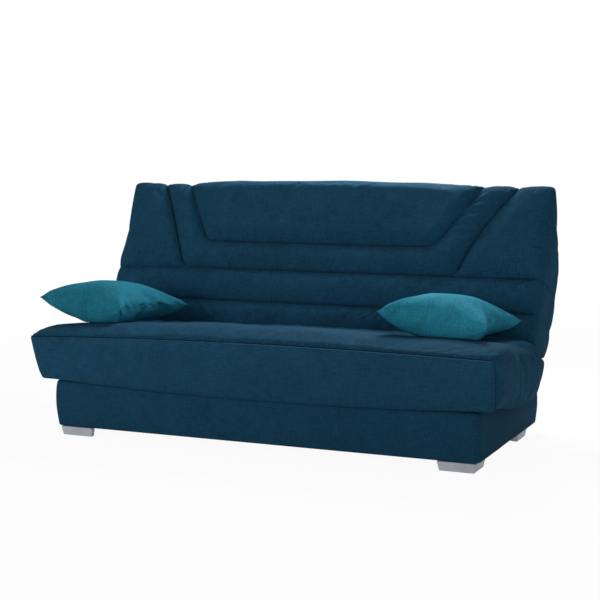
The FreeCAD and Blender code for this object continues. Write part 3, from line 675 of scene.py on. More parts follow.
# folds in the back's cloth: across, up, heading, length, width, height
BACK_FOLDS = (
    (0.640, 0.565, 18, 0.12, 0.010, 0.0067), (0.625, 0.520, 8, 0.11, 0.009, 0.0067),
    (0.600, 0.470, -6, 0.10, 0.009, 0.0053), (0.660, 0.600, 30, 0.09, 0.008, 0.0053),
    (0.300, 0.085, 70, 0.07, 0.008, 0.0075), (0.340, 0.075, 105, 0.07, 0.007, 0.0083),
    (0.375, 0.090, 80, 0.08, 0.008, 0.0075), (0.250, 0.070, 60, 0.06, 0.007, 0.0053),
    (0.160, 0.050, 85, 0.06, 0.007, 0.0045), (-0.420, 0.150, 80, 0.05, 0.008, 0.0037),
    (0.330, 0.165, 95, 0.06, 0.009, 0.0053), (0.845, 0.110, 40, 0.09, 0.009, 0.0060),
    (0.900, 0.245, 30, 0.09, 0.009, 0.0053), (0.880, 0.060, 65, 0.08, 0.009, 0.0067),
    (-0.700, 0.620, 80, 0.07, 0.008, 0.0037), (-0.330, 0.410, 85, 0.05, 0.008, 0.0030),
    (0.070, 0.115, 88, 0.04, 0.007, 0.0030), (-0.150, 0.060, 75, 0.05, 0.007, 0.0037),
)
COLUMN_INNER = 0.58
COLUMN_OUTER = 0.71
STILL = 0.90
# each slanting seam: where it leaves the seam below, half way up, and at the top edge
INNER_SEAMS = {-1: ((0.548, 0.394), (0.615, 0.515), (0.683, 0.660)),
               1: ((0.497, 0.394), (0.585, 0.522), (0.675, 0.662))}
# the lower edge of the two ends: how high it lies at each place up the back
EDGE_PLACES = (0.0, 0.03, 0.08, 0.117, 0.150, 0.20, 0.258, 0.32, 0.385, 0.495, 0.600, 0.650)
EDGE_HEIGHTS = (0.228, 0.217, 0.221, 0.226, 0.208, 0.200, 0.207, 0.205, 0.213, 0.259, 0.318, 0.345)
OUTER_SEAMS = {-1: ((0.640, 0.270), (0.720, 0.460), (0.808, 0.652)),
               1: ((0.605, 0.270), (0.684, 0.460), (0.818, 0.652))}


def seam_place(points, along):
    """How far out a slanting seam is at each height, on one smooth curve through its three points."""
    (a, low), (b, half_way), (c, top) = points
    t = np.clip(along, low, top)
    return (a * (t - half_way) * (t - top) / ((low - half_way) * (low - top))
            + b * (t - low) * (t - top) / ((half_way - low) * (half_way - top))
            + c * (t - low) * (t - half_way) / ((top - low) * (top - half_way)))


def column_shift(across, along):
    """Draws the lattice columns onto the slanting seams."""
    size = np.abs(across)
    left = across < 0
    inner, outer = (np.where(left, seam_place(seams[-1], along), seam_place(seams[1], along))
                    for seams in (INNER_SEAMS, OUTER_SEAMS))
    ease = smooth(along, SEAM_LOW, SEAM_MID)
    inner = COLUMN_INNER + (inner - COLUMN_INNER) * ease
    outer = COLUMN_OUTER + (outer - COLUMN_OUTER) * ease
    first = size / COLUMN_INNER * inner
    second = inner + (size - COLUMN_INNER) / (COLUMN_OUTER - COLUMN_INNER) * (outer - inner)
    third = outer + (size - COLUMN_OUTER) / (STILL - COLUMN_OUTER) * (STILL - outer)
    moved = np.where(size < COLUMN_INNER, first, np.where(size < COLUMN_OUTER, second, third))
    return np.sign(across) * np.where(size < STILL, moved, size)


def raised(points):
    """Places on the back built lying flat, turned up about the fold line."""
    along, rise = points[:, 1] - FOLD.y, points[:, 2] - FOLD.z
    turned = points.copy()
    turned[:, 1] = FOLD.y + along * math.cos(RAISED) - rise * math.sin(RAISED)
    turned[:, 2] = FOLD.z + along * math.sin(RAISED) + rise * math.cos(RAISED)
    return turned


def back_seams():
    """The quilting lines, across and up the unrolled cloth, with small rounds where they meet."""
    dip = SEAM_MID - 0.011
    lines = [[(-2, SEAM_LOW), (2, SEAM_LOW)],
             [(-2, dip), (-0.94, dip), (-0.75, SEAM_MID - 0.003), (-0.5, SEAM_MID), (2, SEAM_MID)],
             [(-INNER_SEAMS[-1][0][0] + 0.028, SEAM_INNER), (INNER_SEAMS[1][0][0] - 0.028, SEAM_INNER)]]
    for side in (-1, 1):
        for points, round_off in ((INNER_SEAMS[side], 0.028), (OUTER_SEAMS[side], 0.030)):
            foot, top = points[0], points[2]
            climb = np.linspace(foot[1] + round_off, top[1], 14)
            run = [(foot[0] - round_off, foot[1]), (foot[0] - round_off * 0.3, foot[1] + round_off * 0.3)]
            run += [(seam_place(points, t), t) for t in climb]
            run.append((top[0] + 0.01, top[1] + 0.30))
            lines.append([(side * x, t) for x, t in run])
    return lines


def seam_paths(unrolled, on_top, surface, near, end):
    """Each quilting line laid on the finished cloth, for the stitches to follow."""
    tree = KDTree(int(on_top.sum()))
    for number in np.flatnonzero(on_top):
        tree.insert((unrolled[number, 0], unrolled[number, 1], 0), int(number))
    tree.balance()
    runs = []
    for line in back_seams():
        run = []
        for (a, b), (c, d) in zip(line, line[1:]):
            count = max(1, round(math.hypot(c - a, d - b) / SEAM_STEP))
            run += [(a + (c - a) * step / count, b + (d - b) * step / count) for step in range(count)]
        path = []
        for across, up in run:
            if abs(across) < BACK_HALF - SEAM_END and near < up < end + BACK_CROWN - SEAM_END:
                found = tree.find_n((across, up, 0), 4)
                weights = np.array([1 / (gap_now + 1e-5) for _, _, gap_now in found])
                path.append(weights @ surface[[number for _, number, _ in found]] / weights.sum())
        smoothed = np.array(path)
        for _ in range(3):
            smoothed[1:-1] = (smoothed[:-2] + smoothed[1:-1] * 2 + smoothed[2:]) / 4
        runs.append(smoothed)
    return runs


def build_back(sizes):
    """The back's cushion and its quilting lines, built lying flat and then turned up."""
    near, end = 0.0005, BACK_END
    steps = graded([0, COLUMN_INNER, COLUMN_OUTER, STILL, BACK_HALF],
                   [COLUMN_INNER, COLUMN_OUTER, BACK_HALF], 0.0085, 0.004, 0.05)
    xs = both_sides(steps)
    ys = graded([near, SEAM_LOW, SEAM_MID, SEAM_INNER, end],
                [near, SEAM_LOW, SEAM_MID, SEAM_INNER, end], 0.008, 0.0028, 0.045)
    zs = graded([SEAT_LOW, EDGE_TOP], [SEAT_LOW, EDGE_TOP], 0.014, 0.004, 0.03)
    places, faces, maps, unrolled, rim = shell_lattice(xs, ys, zs)
    along = places[:, 1].copy()
    points = rounded(places, (-BACK_HALF, near, SEAT_LOW), (BACK_HALF, end, EDGE_TOP),
                     (0.020, 0.014, 0.022), (0.020, 0.012, 0.008))
    points[:, 0] = column_shift(points[:, 0], along)
    unrolled[:, 0] = np.where(np.abs(unrolled[:, 0]) < BACK_HALF,
                              column_shift(unrolled[:, 0], along), unrolled[:, 0])
    x, t, z = points.T
    crown = BACK_CROWN * np.clip(1 - np.abs(x / 0.69) ** 2.6, 0, 1) * smooth(along, 0.42, end)
    crown = crown * smooth(z, SEAT_LOW, 0.36)
    sloped = np.interp(z, (0.231, 0.276, 0.345, 0.405), (0.100, 0.056, 0.018, 0))
    sloped = sloped * smooth(along, 0.25, end)
    bevel = 0.040 * np.clip((z - FOLD.z) / 0.04, 0, 1) ** 1.5 * (1 - smooth(along, near, 0.10))
    points[:, 1] = t + crown - sloped + bevel
    x = x + np.sign(x) * 0.010 * smooth(np.abs(x), 0.85, BACK_HALF) * smooth(along, -0.01, 0.09)
    unrolled[:, 1] += crown
    # at the ends the lower edge sags below the frame, and climbs towards the top
    edge = np.interp(along, EDGE_PLACES, EDGE_HEIGHTS)
    drop = (EDGE_TOP - edge) / (EDGE_TOP - SEAT_LOW)
    at_end = smooth(np.abs(x), 0.865, 0.945)
    points[:, 0] = x
    points[:, 2] = EDGE_TOP - (EDGE_TOP - z) * (1 + (drop - 1) * at_end)
    gap = gap_to(unrolled, back_seams())
    made = object_from("back_scratch", points, faces)
    out = normals_of(made.data)
    bpy.data.meshes.remove(made.data)
    low_fade = smooth(places[:, 2], SEAT_LOW, SEAT_LOW + 0.03)
    puff = sizes.quilt_rise * (swell(gap, sizes.quilt_reach) - 0.5)
    from_side = np.clip(BACK_HALF - np.abs(unrolled[:, 0]), 0, 1)
    from_top = np.clip(end + crown - unrolled[:, 1], 0, 1)
    puff = puff * (0.30 + 0.70 * smooth(from_side, 0, 0.06)) * (0.45 + 0.55 * smooth(from_top, 0, 0.03))
    uneven = 0.0022 * ripple(unrolled[:, 0], unrolled[:, 1], 0.35, 5)
    pucker = 0.0011 * ripple(unrolled[:, 0], unrolled[:, 1] * 0.4, 0.035, 11) * np.exp(-gap / 0.02)
    folds = creases(unrolled[:, 0], unrolled[:, 1], BACK_FOLDS)
    points = points + out * ((puff + uneven + pucker + folds) * low_fade)[:, None]
    made = object_from("back_scratch", points, faces)
    held = np.maximum(1 - smooth(gap, 0.004, 0.010), 1 - low_fade)
    fill_with_air(made, 1.5, 14, 0.008, held, slack=0.012, stiffness=25, bending=0.6)
    points = vertex_array(made.data)
    bpy.data.objects.remove(made)
    points[:, 1] += FOLD.y
    points, faces, maps = recess(points, faces, maps, rim,
                                 (-BACK_OPENING, BACK_OPENING), (FOLD.y + HEM, FOLD.y + BACK_FRAME_END),
                                 SEAT_LOW, CEILING, (len(xs) - 1, len(ys) - 1))
    made = object_from("back_cushion", raised(points), faces, maps)
    soften(made)
    on_top = places[:, 2] > EDGE_TOP - 0.001
    return made, seam_paths(unrolled, on_top, raised(points), near, end)


# ---------------------------------------------------------------- the seat

# the seat's top from front to rear, above its front seam: a full roll, then a shallow trough
ROLL_PLACES = (0.0, 0.015, 0.035, 0.065, 0.095, 0.125, 0.155, 0.185, 0.215, 0.245, 0.275, 0.325,
               0.375, 0.425, 0.475, 0.525, 0.583)
ROLL_RISE = (0.0, 0.015, 0.0235, 0.0315, 0.0360, 0.0380, 0.0380, 0.0340, 0.0285, 0.0210, 0.0125, 0.0005,
             -0.0075, -0.0120, -0.0140, -0.0155, -0.0170)


SEAT_OPENING = 0.915


def seat_half_at(z):
    """Half width of the seat, which spreads upwards."""
    return np.interp(z, (SEAT_LOW, 0.238, 0.26, 0.30, 0.34, 0.40),
                     (0.957, 0.966, 0.975, 0.981, 0.983, 0.984))


def front_crest(x):
    """Rise of the seat's front top edge, highest at the middle and lower at the left end."""
    return 0.0210 + 0.0080 * x - 0.0190 * x ** 2


def seam_height(x):
    """Height of the seat's front top seam."""
    return EDGE_TOP + 0.0015 + front_crest(x)


def front_slant(z):
    """How far the seat's front falls back below its top edge."""
    return 0.050 * np.clip((EDGE_TOP - z) / (EDGE_TOP - SEAT_LOW), -0.2, 1.1)


def build_seat(sizes):
    """The seat's cushion, with its front roll, its drawn-in ends and the opening for its frame."""
    front = SEAT_FRONT + 0.006
    steps = graded([0, 0.90, SEAT_HALF], [SEAT_HALF], 0.014, 0.004, 0.09)
    xs = both_sides(steps)
    ys = graded([front, SEAT_REAR], [front, SEAT_REAR], 0.012, 0.003, 0.06)
    zs = graded([SEAT_LOW, EDGE_TOP], [SEAT_LOW, EDGE_TOP], 0.012, 0.004, 0.04)
    places, faces, maps, unrolled, rim = shell_lattice(xs, ys, zs)
    points = rounded(places, (-SEAT_HALF, front, SEAT_LOW), (SEAT_HALF, SEAT_REAR, EDGE_TOP),
                     (0.022, 0.018, 0.022), (0.022, 0.018, 0.026))
    x, y, z = points.T
    share = np.clip((z - SEAT_LOW) / (EDGE_TOP - SEAT_LOW), 0, 1)
    deep = np.clip((places[:, 1] - front) / (SEAT_REAR - front), 0, 1)
    wide = np.abs(x) / SEAT_HALF
    drawn_in = 0.010 * (1 - smooth(places[:, 1], front + 0.008, front + 0.045)) * smooth(wide, 0.95, 1.0)
    drawn_in = drawn_in * (1 - smooth(share, 0.70, 0.92))
    points[:, 0] = (x - np.sign(x) * drawn_in) * seat_half_at(z) / SEAT_HALF
    lean = front_slant(z) * (1 - smooth(y, front, front + 0.25))
    bevel = 0.038 * np.clip((z - FOLD.z) / 0.04, 0, 1) ** 1.5 * smooth(y, SEAT_REAR - 0.10, SEAT_REAR)
    points[:, 1] = y + lean - bevel
    crown = front_crest(x)
    behind = np.clip(places[:, 1] - front, 0, 1)
    fullness = 1 - 0.25 * smooth(np.abs(x), 0.30, 0.65) - 0.20 * smooth(-x, 0.80, 0.95)
    dome = np.interp(behind, ROLL_PLACES, ROLL_RISE)
    dome = np.where(dome > 0, dome * fullness * sizes.seat_roll / ROLL_FULL, dome)
    roll = 0.016 * np.clip((np.abs(x) - SEAT_HALF + 0.085) / 0.085, 0, 1) ** 2.2 * smooth(deep, 0.15, 0.85)
    skirt = 0.050 * smooth(np.abs(x), 0.925, 0.950) * smooth(deep, 0.02, 0.75)
    points[:, 2] = (z + (crown + dome - roll) * share ** 1.5
                    - skirt * np.clip((0.33 - z) / 0.09, 0, 1))
    made = object_from("seat_scratch", points, faces)
    out = normals_of(made.data)
    bpy.data.meshes.remove(made.data)
    side = smooth(wide, 0.955, 1.0)
    uneven = 0.0024 * ripple(unrolled[:, 0], unrolled[:, 1], 0.38, 21)
    bulge = side * np.sin(math.pi * share) * (0.004 * swell(behind, 0.03) + 0.006 * smooth(deep, 0, 0.25))
    low_fade = smooth(places[:, 2], SEAT_LOW, SEAT_LOW + 0.03)
    drawn = 0.0045 * ripple(places[:, 1] + 0.15 * places[:, 2], 0.18 * places[:, 2], 0.075, 27)
    drawn *= smooth(np.abs(x), 0.90, 0.965) * smooth(deep, 0.15, 0.75)
    gathers = 0.0035 * ripple(x, 0.2 * y, 0.08, 29) * smooth(deep, 0.90, 1.0)
    points = points + out * ((uneven + bulge + drawn + gathers) * low_fade)[:, None]
    made = object_from("seat_scratch", points, faces)
    at_front = 1 - smooth(places[:, 1], front, front + 0.03)
    fill_with_air(made, 1.2, 14, 0.006, np.maximum(at_front, 1 - low_fade), slack=0.010, stiffness=25,
                  bending=0.8)
    points = vertex_array(made.data)
    bpy.data.objects.remove(made)
    points, faces, maps = recess(points, faces, maps, rim, (-SEAT_OPENING, SEAT_OPENING),
                                 (CHEST_FRONT + 0.007, SEAT_REAR - 0.027),
                                 SEAT_LOW, CEILING, (len(xs) - 1, len(ys) - 1))
    made = object_from("seat_cushion", points, faces, maps)
    soften(made)
    return made


PANEL_HALF = 0.981
PANEL_THICK = 0.010
# the panel's left end is drawn in by this share
LEFT_END = 0.994
# the front panel's half width at each share of its height
PANEL_TAPER = ((0, 0.05, 0.2, 0.45, 0.7, 1), (0.955, 0.965, 0.973, 0.978, 0.980, 0.981))


def build_front_panel(sizes):
    """The seat's front panel: a crowned pad between the top seam, the two end seams and its lower hem."""
    half, thick = PANEL_HALF, PANEL_THICK
    height = EDGE_TOP - SEAT_LOW
    xs = both_sides(graded([0, half], [half], 0.014, 0.003, 0.05))
    ys = graded([0, height], [0, height], 0.010, 0.0026, 0.05)
    zs = np.linspace(0, thick, 4)
    places, faces, maps, *_ = shell_lattice(xs, ys, zs, closed=True)
    points = rounded(places, (-half, 0, 0), (half, height, thick), (0.005, 0.005, 0.005))
    x, v, w = points.T
    share = np.clip(v / height, 0, 1)
    sag = 0.004 - 0.026 * np.clip(1 - np.abs(x / 0.93) ** 2.2, 0, 1)
    bottom = SEAT_LOW + sag
    top = seam_height(x) - 0.003
    z = bottom + (top - bottom) * share
    gap = np.clip(np.minimum(np.minimum(v, height - v), half - np.abs(x)), 0, 1)
    puff = sizes.panel_puff * (0.35 * swell(gap, 0.018) + 0.65 * swell(gap, 0.09))
    x = np.where(x < 0, x * LEFT_END, x)
    puff += 0.0016 * ripple(x, v, 0.30, 31) + 0.0008 * ripple(x, v * 0.3, 0.09, 33)
    facing = w / thick
    y = SEAT_FRONT + 0.009 + front_slant(z) - w - puff * facing
    squeeze = np.interp(share, *PANEL_TAPER) / half
    made = object_from("seat_front_band", np.stack([x * squeeze, y, z], 1), faces, maps)
    soften(made)
    # the top seam's path from end to end, and the two end seams' paths
    top_seam = [(x, SEAT_FRONT + 0.0055 + 0.001 * abs(x), seam_height(x) - 0.0015)
                for x in np.linspace(0.004 - half, half - 0.004, 90)]
    ends = []
    for side in (-1, 1):
        heights = np.linspace(SEAT_LOW + 0.012, seam_height(side * half) - 0.006, 24)
        out = np.interp((heights - SEAT_LOW) / height, *PANEL_TAPER) - 0.0035
        out = out * (LEFT_END if side < 0 else 1)
        ends.append([(side * x, SEAT_FRONT + 0.012 + front_slant(z), z) for x, z in zip(out, heights)])
    return made, top_seam, ends


# ---------------------------------------------------------------- the fold's bolster

BOLSTER_HALF = 0.958
BOLSTER_NEAR = 0.012
BOLSTER_REACH = 0.180


def build_bolster():
    """The padding that fills the wedge behind the fold, between the seat's rear and the back's lower end."""
    xs = both_sides(graded([0, BOLSTER_HALF], [BOLSTER_HALF], 0.03, 0.004, 0.06))
    turns = np.linspace(0, 1, 21)
    reaches = graded([BOLSTER_NEAR, BOLSTER_REACH], [BOLSTER_REACH], 0.02, 0.005, 0.05)
    places, faces, maps, *_ = shell_lattice(xs, turns, reaches, closed=True)
    x, turn, reach = rounded(places, (-BOLSTER_HALF, 0, BOLSTER_NEAR), (BOLSTER_HALF, 1, BOLSTER_REACH),
                             (0.010, 0.01, 0.012), (0.010, 0.03, 0.004)).T
    angle = math.radians(-90) + RAISED * (0.02 + 0.97 * turn)
    round_off = 1 - 0.05 * np.abs(2 * turn - 1) ** 4
    far = reach * round_off
    y = FOLD.y + far * np.cos(angle)
    z = FOLD.z + far * np.sin(angle)
    y = np.maximum(y, FOLD.y + 0.0015)
    made = object_from("fold_bolster", np.stack([x, y, z], 1), faces, maps * (1, 0.15))
    soften(made, 60)
    return made


# ---------------------------------------------------------------- the chest

CHEST_RADIUS = 0.018


def chest_section(sizes):
    """The cover's section: how far out and how high each point is, from under the floor to inside the rim."""
    bottom, top = CHEST_LOW, CHEST_TOP
    heights = np.linspace(0, 1, 23)
    bulge = sizes.chest_bulge * (0.35 + 0.65 * np.sin(math.pi * heights)) - 0.0010 * (1 - heights)
    bulge -= 0.0025 * smooth(heights, 0.92, 1.0)
    profile = [(-0.030, bottom + 0.006), (-0.026, bottom + 0.001), (-0.020, bottom)]
    profile += [(-0.010, bottom + 0.0005), (-0.003, bottom + 0.003)]
    for share, out in zip(heights, bulge):
        profile.append((out + 0.001, bottom + 0.006 + (top - bottom - 0.012) * share))
    profile += [(-0.001, top - 0.0025), (-0.007, top), (-0.020, top), (-0.026, top - 0.0005)]
    profile += [(-0.0285, top - 0.003), (-0.0285, top - 0.012)]
    return np.array(profile).T


def chest_way():
    """The way round the chest, with rounded corners: each point and the direction that faces out."""
    radius = CHEST_RADIUS
    corners = []
    for sx, sy, start in ((1, -1, -90), (1, 1, 0), (-1, 1, 90), (-1, -1, 180)):
        centre = (sx * (CHEST_HALF - radius), (CHEST_REAR if sy > 0 else CHEST_FRONT) - sy * radius)
        corners.append((centre, start))
    path = []
    for number, (centre, start) in enumerate(corners):
        for step in range(9):
            angle = math.radians(start + step * 90 / 8)
            path.append((centre[0] + radius * math.cos(angle), centre[1] + radius * math.sin(angle),
                         math.cos(angle), math.sin(angle)))
        following = corners[(number + 1) % 4]
        angle = math.radians(start + 90)
        begin = np.array([centre[0] + radius * math.cos(angle), centre[1] + radius * math.sin(angle)])
        finish = np.array([following[0][0] + radius * math.cos(angle),
                           following[0][1] + radius * math.sin(angle)])
        count = max(4, round(np.linalg.norm(finish - begin) / 0.018))
        for step in range(1, count):
            spot = begin + (finish - begin) * step / count
            path.append((spot[0], spot[1], math.cos(angle), math.sin(angle)))
    return np.array(path)


def build_chest(sizes):
    """Padded cloth drawn round the chest's four boards, turned in over the rim and under the floor."""
    path = chest_way()
    across, up = chest_section(sizes)
    travel = np.concatenate([[0], np.cumsum(np.linalg.norm(
        np.roll(path, -1, 0)[:, :2] - path[:, :2], axis=1))])
    rows, columns = len(path), len(across)
    climb = np.concatenate([[0], np.cumsum(np.hypot(np.diff(across), np.diff(up)))])
    grid_t = travel[:-1][:, None] + np.zeros(columns)
    middle = smooth(across + 0.003, 0, 0.004)
    wave = (0.0018 * ripple(grid_t, up + np.zeros((rows, 1)), 0.45, 41)
            + 0.0007 * ripple(grid_t, 0.3 * up + np.zeros((rows, 1)), 0.11, 43)) * middle
    out = across + wave
    x = path[:, 0, None] + path[:, 2, None] * out
    y = path[:, 1, None] + path[:, 3, None] * out
    z = np.broadcast_to(up, (rows, columns))
    points = np.stack([x, y, z], -1).reshape(-1, 3)
    faces, maps = [], []
    for row in range(rows):
        nearer = (row + 1) % rows
        for column in range(columns - 1):
            faces.append((row * columns + column, nearer * columns + column,
                          nearer * columns + column + 1, row * columns + column + 1))
            maps += [(travel[row], climb[column]), (travel[row + 1], climb[column]),
                     (travel[row + 1], climb[column + 1]), (travel[row], climb[column + 1])]
    made = object_from("chest_cover", points, faces, maps)
    thicken = made.modifiers.new("Cloth", "SOLIDIFY")
    thicken.thickness = 0.0022
    thicken.offset = -1
    soften(made, 60)
    return made


# ---------------------------------------------------------------- feet

FOOT_WEB = 0.024
FOOT_TAPER = 0.007
FOOT_EDGE = 0.0035


def build_foot(node):
    """A corner foot with softened edges, cut off across its inner corner and wider above than below."""
    lowest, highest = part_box(node)
    centre = (lowest + highest) / 2
    half = (highest - lowest) / 2
    outward = 1 if centre.x > 0 else -1
    endward = 1 if "rear" in node else -1
    plan = ((1, 1), (-1, 1), (-1, 1 - FOOT_WEB / half.y), (1 - FOOT_WEB / half.x, -1), (1, -1))
    mesh = bmesh.new()
    rings = []
    for z, drawn in ((lowest.z, FOOT_TAPER), (highest.z, 0.0)):
        reach_x, reach_y = outward * (half.x - drawn), endward * (half.y - drawn)
        rings.append([mesh.verts.new((centre.x + u * reach_x, centre.y + v * reach_y, z)) for u, v in plan])
    for low_vert, next_low, high_vert, next_high in zip(
            rings[0], rings[0][1:] + rings[0][:1], rings[1], rings[1][1:] + rings[1][:1]):
        mesh.faces.new((low_vert, next_low, next_high, high_vert))
    for ring in rings:
        mesh.faces.new(ring)
    bmesh.ops.recalc_face_normals(mesh, faces=mesh.faces[:])
    bmesh.ops.bevel(mesh, geom=mesh.edges[:], offset=FOOT_EDGE, segments=3, profile=0.6, affect="EDGES")
    data = bpy.data.meshes.new(node + "_block")
    mesh.to_mesh(data)
    mesh.free()
    made = bpy.data.objects.new(node + "_block", data)
    bpy.context.scene.collection.objects.link(made)
    soften(made, 35)
    return made


# ---------------------------------------------------------------- pillows

# centre, the way from the left corner to the near one, the way from the near corner to the rear one,
# the filled side from corner to corner, and how far the near and the rear corner are pulled
PILLOWS = {
    "pillow_left": ((-0.757, -0.178, 0.5300), (0.367, 0.028, -0.0225), (0.087, 0.380, -0.043), 0.389,
                    (-0.015, -0.005, -0.012), (0.000, 0.000, 0.002)),
    "pillow_right": ((0.691, -0.1050, 0.5250), (0.416, 0.000, -0.018), (0.009, 0.420, -0.052), 0.425,
                     (0.008, -0.012, -0.020), (0.003, 0.000, -0.006)),
}


def rested(points, seat):
    """The points lifted to just above the seat wherever they would be in it."""
    surface = BVHTree.FromObject(seat, bpy.context.evaluated_depsgraph_get())
    above, down = 0.8, Vector((0, 0, -1))
    for number, (x, y, z) in enumerate(points):
        found = surface.ray_cast(Vector((x, y, above)), down)[0]
        if found is not None:
            points[number, 2] = max(z, found.z + 0.0015)
    return points


def build_pillow(name, sizes, seat):
    """Two square cloths sewn edge to edge and filled, lying on the seat."""
    centre, half_x, half_y, side, near_pull, far_pull = PILLOWS[name]
    half_x, half_y = Vector(half_x).normalized(), Vector(half_y).normalized()
    up = half_x.cross(half_y).normalized()
    count = 64
    u = np.sin(np.linspace(-1, 1, count + 1) * math.pi / 2 * 0.8) / math.sin(math.pi / 2 * 0.8)
    places, faces, maps, *_ = shell_lattice(u, u, np.array([-1.0, 1.0]), closed=True)
    a, b, c = places.T
    half = side / 2 * 1.075
    seed = 51 if name.endswith("left") else 52
    rise = (1 - a ** 2) * (1 - b ** 2)
    crease = 0.002 * ripple(a, b, 0.35, seed) * rise ** 0.5
    tall = c * (0.0012 + 0.022 * rise ** 0.5) + crease
    made = object_from(name + "_cushion", np.stack([a * half, b * half, tall], 1), faces, maps * half)
    fill_with_air(made, 9.0, 24, 0.16)
    filled = vertex_array(made.data)
    filled = relaxed(made.data, filled, 12, 0.8 * rise ** 0.35)
    spread = np.abs(filled[:, 2]).max()
    filled[:, 2] *= sizes.pillow_thick / 2 / spread
    corner = np.linalg.norm(filled[np.argmax(a + b), :2] - filled[np.argmax(a - b), :2])
    filled[:, :2] *= side / corner
    # the top is flatter towards the right side's seam, and the underside towards the left one's
    flat = np.where(c > 0, 0.45, 0.10) * smooth(a, 0.25, 1.0)
    flat = flat + np.where(c > 0, 0.0, 0.42) * smooth(-a, 0.0, 1.0)
    filled[:, 2] *= 1 - flat
    # the cloth stands in a ridge at each corner, and fans out in pleats under the near one
    to_corner = np.hypot(1 - np.abs(a), 1 - np.abs(b))
    off_ridge = (np.abs(a) - np.abs(b)) / 1.414
    ridge = 0.009 * np.exp(-(off_ridge / 0.075) ** 2) * smooth(to_corner, 0.0, 0.25)
    ridge *= 1 - smooth(to_corner, 0.45, 0.95)
    from_near = np.hypot(1 - a, 1 + b)
    pleat = 0.0042 * np.cos(15 * np.arctan2(1 + b, 1 - a)) * smooth(from_near, 0.02, 0.16)
    pleat *= np.exp(-(from_near / 0.42) ** 2) * np.where(c < 0, 1.0, 0.25)
    filled[:, 2] += c * (ridge + pleat)
    # the underside hangs fuller behind the front seam
    belly = 0.026 * np.exp(-((b + 0.55) / 0.40) ** 2) * np.clip(1 - a ** 4, 0, 1) ** 0.5
    belly = belly * (1 + 0.20 * a)
    filled[:, 2] -= belly * smooth(-c, -0.2, 0.6)
    turn = Matrix((half_x, half_y, up)).transposed()
    points = filled @ np.array(turn).T + np.array(centre)
    for turned, pull in ((-b, near_pull), (b, far_pull)):
        share = ((1 + a) * (1 + turned) / 4) ** 2
        points = points + share[:, None] * np.array(pull)
    set_vertices(made.data, rested(points, seat))
    finer = made.modifiers.new("Subdivision", "SUBSURF")
    finer.levels = 1
    finer.render_levels = 1
    soften(made, 75)
    return made


# ---------------------------------------------------------------- the stage

# name, place, the point it faces, size and power
LAMPS = (
    ("key_lamp", (-2.8, -3.6, 1.7), (0, 0, 0.5), 1.2, 42),
    ("low_key_lamp", (-2.2, -3.4, 0.7), (0, 0, 0.5), 1.0, 16),
    ("top_lamp", (0.20, 1.0, 2.0), (0, -0.3, 0.5), 0.8, 49),
    ("right_lamp", (3.0, -2.4, 1.6), (0, 0, 0.5), 1.0, 15),
    ("rear_lamp", (0.5, 3.6, 3.0), (0, 0, 0.6), 2.5, 22),
)
CAMERA_PLACE = (2.5067, -5.3036, 1.3421)
CAMERA_YAW, CAMERA_PITCH, CAMERA_ROLL = 25.2, 7.76, 0.97
CAMERA_LENS = 87.48


def lay_floor(colour):
    """A wide pale floor that keeps the object's shadow and glows plainly for the camera."""
    data = bpy.data.meshes.new("studio_floor")
    reach = 30.0
    data.from_pydata([(-reach, -reach, 0), (reach, -reach, 0), (reach, reach, 0), (-reach, reach, 0)],
                     [], [(0, 1, 2, 3)])
    floor = bpy.data.objects.new("studio_floor", data)
    bpy.context.scene.collection.objects.link(floor)
    f = Finish("studio_floor", Roughness=0.9, Specular_IOR_Level=0.1)
    f.shader.inputs["Base Color"].default_value = (*colour, 1)
    glow = f.tree.nodes.new("ShaderNodeEmission")
    glow.inputs["Strength"].default_value = 1.0
    path = f.node("ShaderNodeLightPath", out="Is Camera Ray")
    glossy = f.node("ShaderNodeLightPath", out="Is Glossy Ray")
    seen = path.math("MAXIMUM", glossy)
    blend = f.tree.nodes.new("ShaderNodeMixShader")
    where = f.place()
    distance = f.node("ShaderNodeVectorMath", {"operation": "LENGTH"}, (where,), out="Value")
    f.tree.links.new((seen * f.fade(distance, 1.6, 4.0, 0.94, 1.0)).socket, blend.inputs[0])
    f.tree.links.new(f.shader.outputs[0], blend.inputs[1])
    f.tree.links.new(glow.outputs[0], blend.inputs[2])
    f.tree.links.new(blend.outputs[0], f.output.inputs["Surface"])
    data.materials.append(f.material)


def light_world():
    """A soft even world that shows plain white to the camera."""
    world = bpy.data.worlds.new("studio_world")
    bpy.context.scene.world = world
    world.use_nodes = True
    tree = world.node_tree
    tree.nodes.clear()
    soft = tree.nodes.new("ShaderNodeBackground")
    soft.inputs["Color"].default_value = (0.98, 0.99, 1.0, 1)
    soft.inputs["Strength"].default_value = 0.30
    plain = tree.nodes.new("ShaderNodeBackground")
    plain.inputs["Color"].default_value = (1, 1, 1, 1)
    plain.inputs["Strength"].default_value = 1.0
    light_path = tree.nodes.new("ShaderNodeLightPath")
    glossy_or = tree.nodes.new("ShaderNodeMath")
    glossy_or.operation = "MAXIMUM"
    choice = tree.nodes.new("ShaderNodeMixShader")
    out = tree.nodes.new("ShaderNodeOutputWorld")
    tree.links.new(light_path.outputs["Is Camera Ray"], glossy_or.inputs[0])
    tree.links.new(light_path.outputs["Is Transmission Ray"], glossy_or.inputs[1])
    tree.links.new(glossy_or.outputs[0], choice.inputs[0])
    tree.links.new(soft.outputs[0], choice.inputs[1])
    tree.links.new(plain.outputs[0], choice.inputs[2])
    tree.links.new(choice.outputs[0], out.inputs["Surface"])


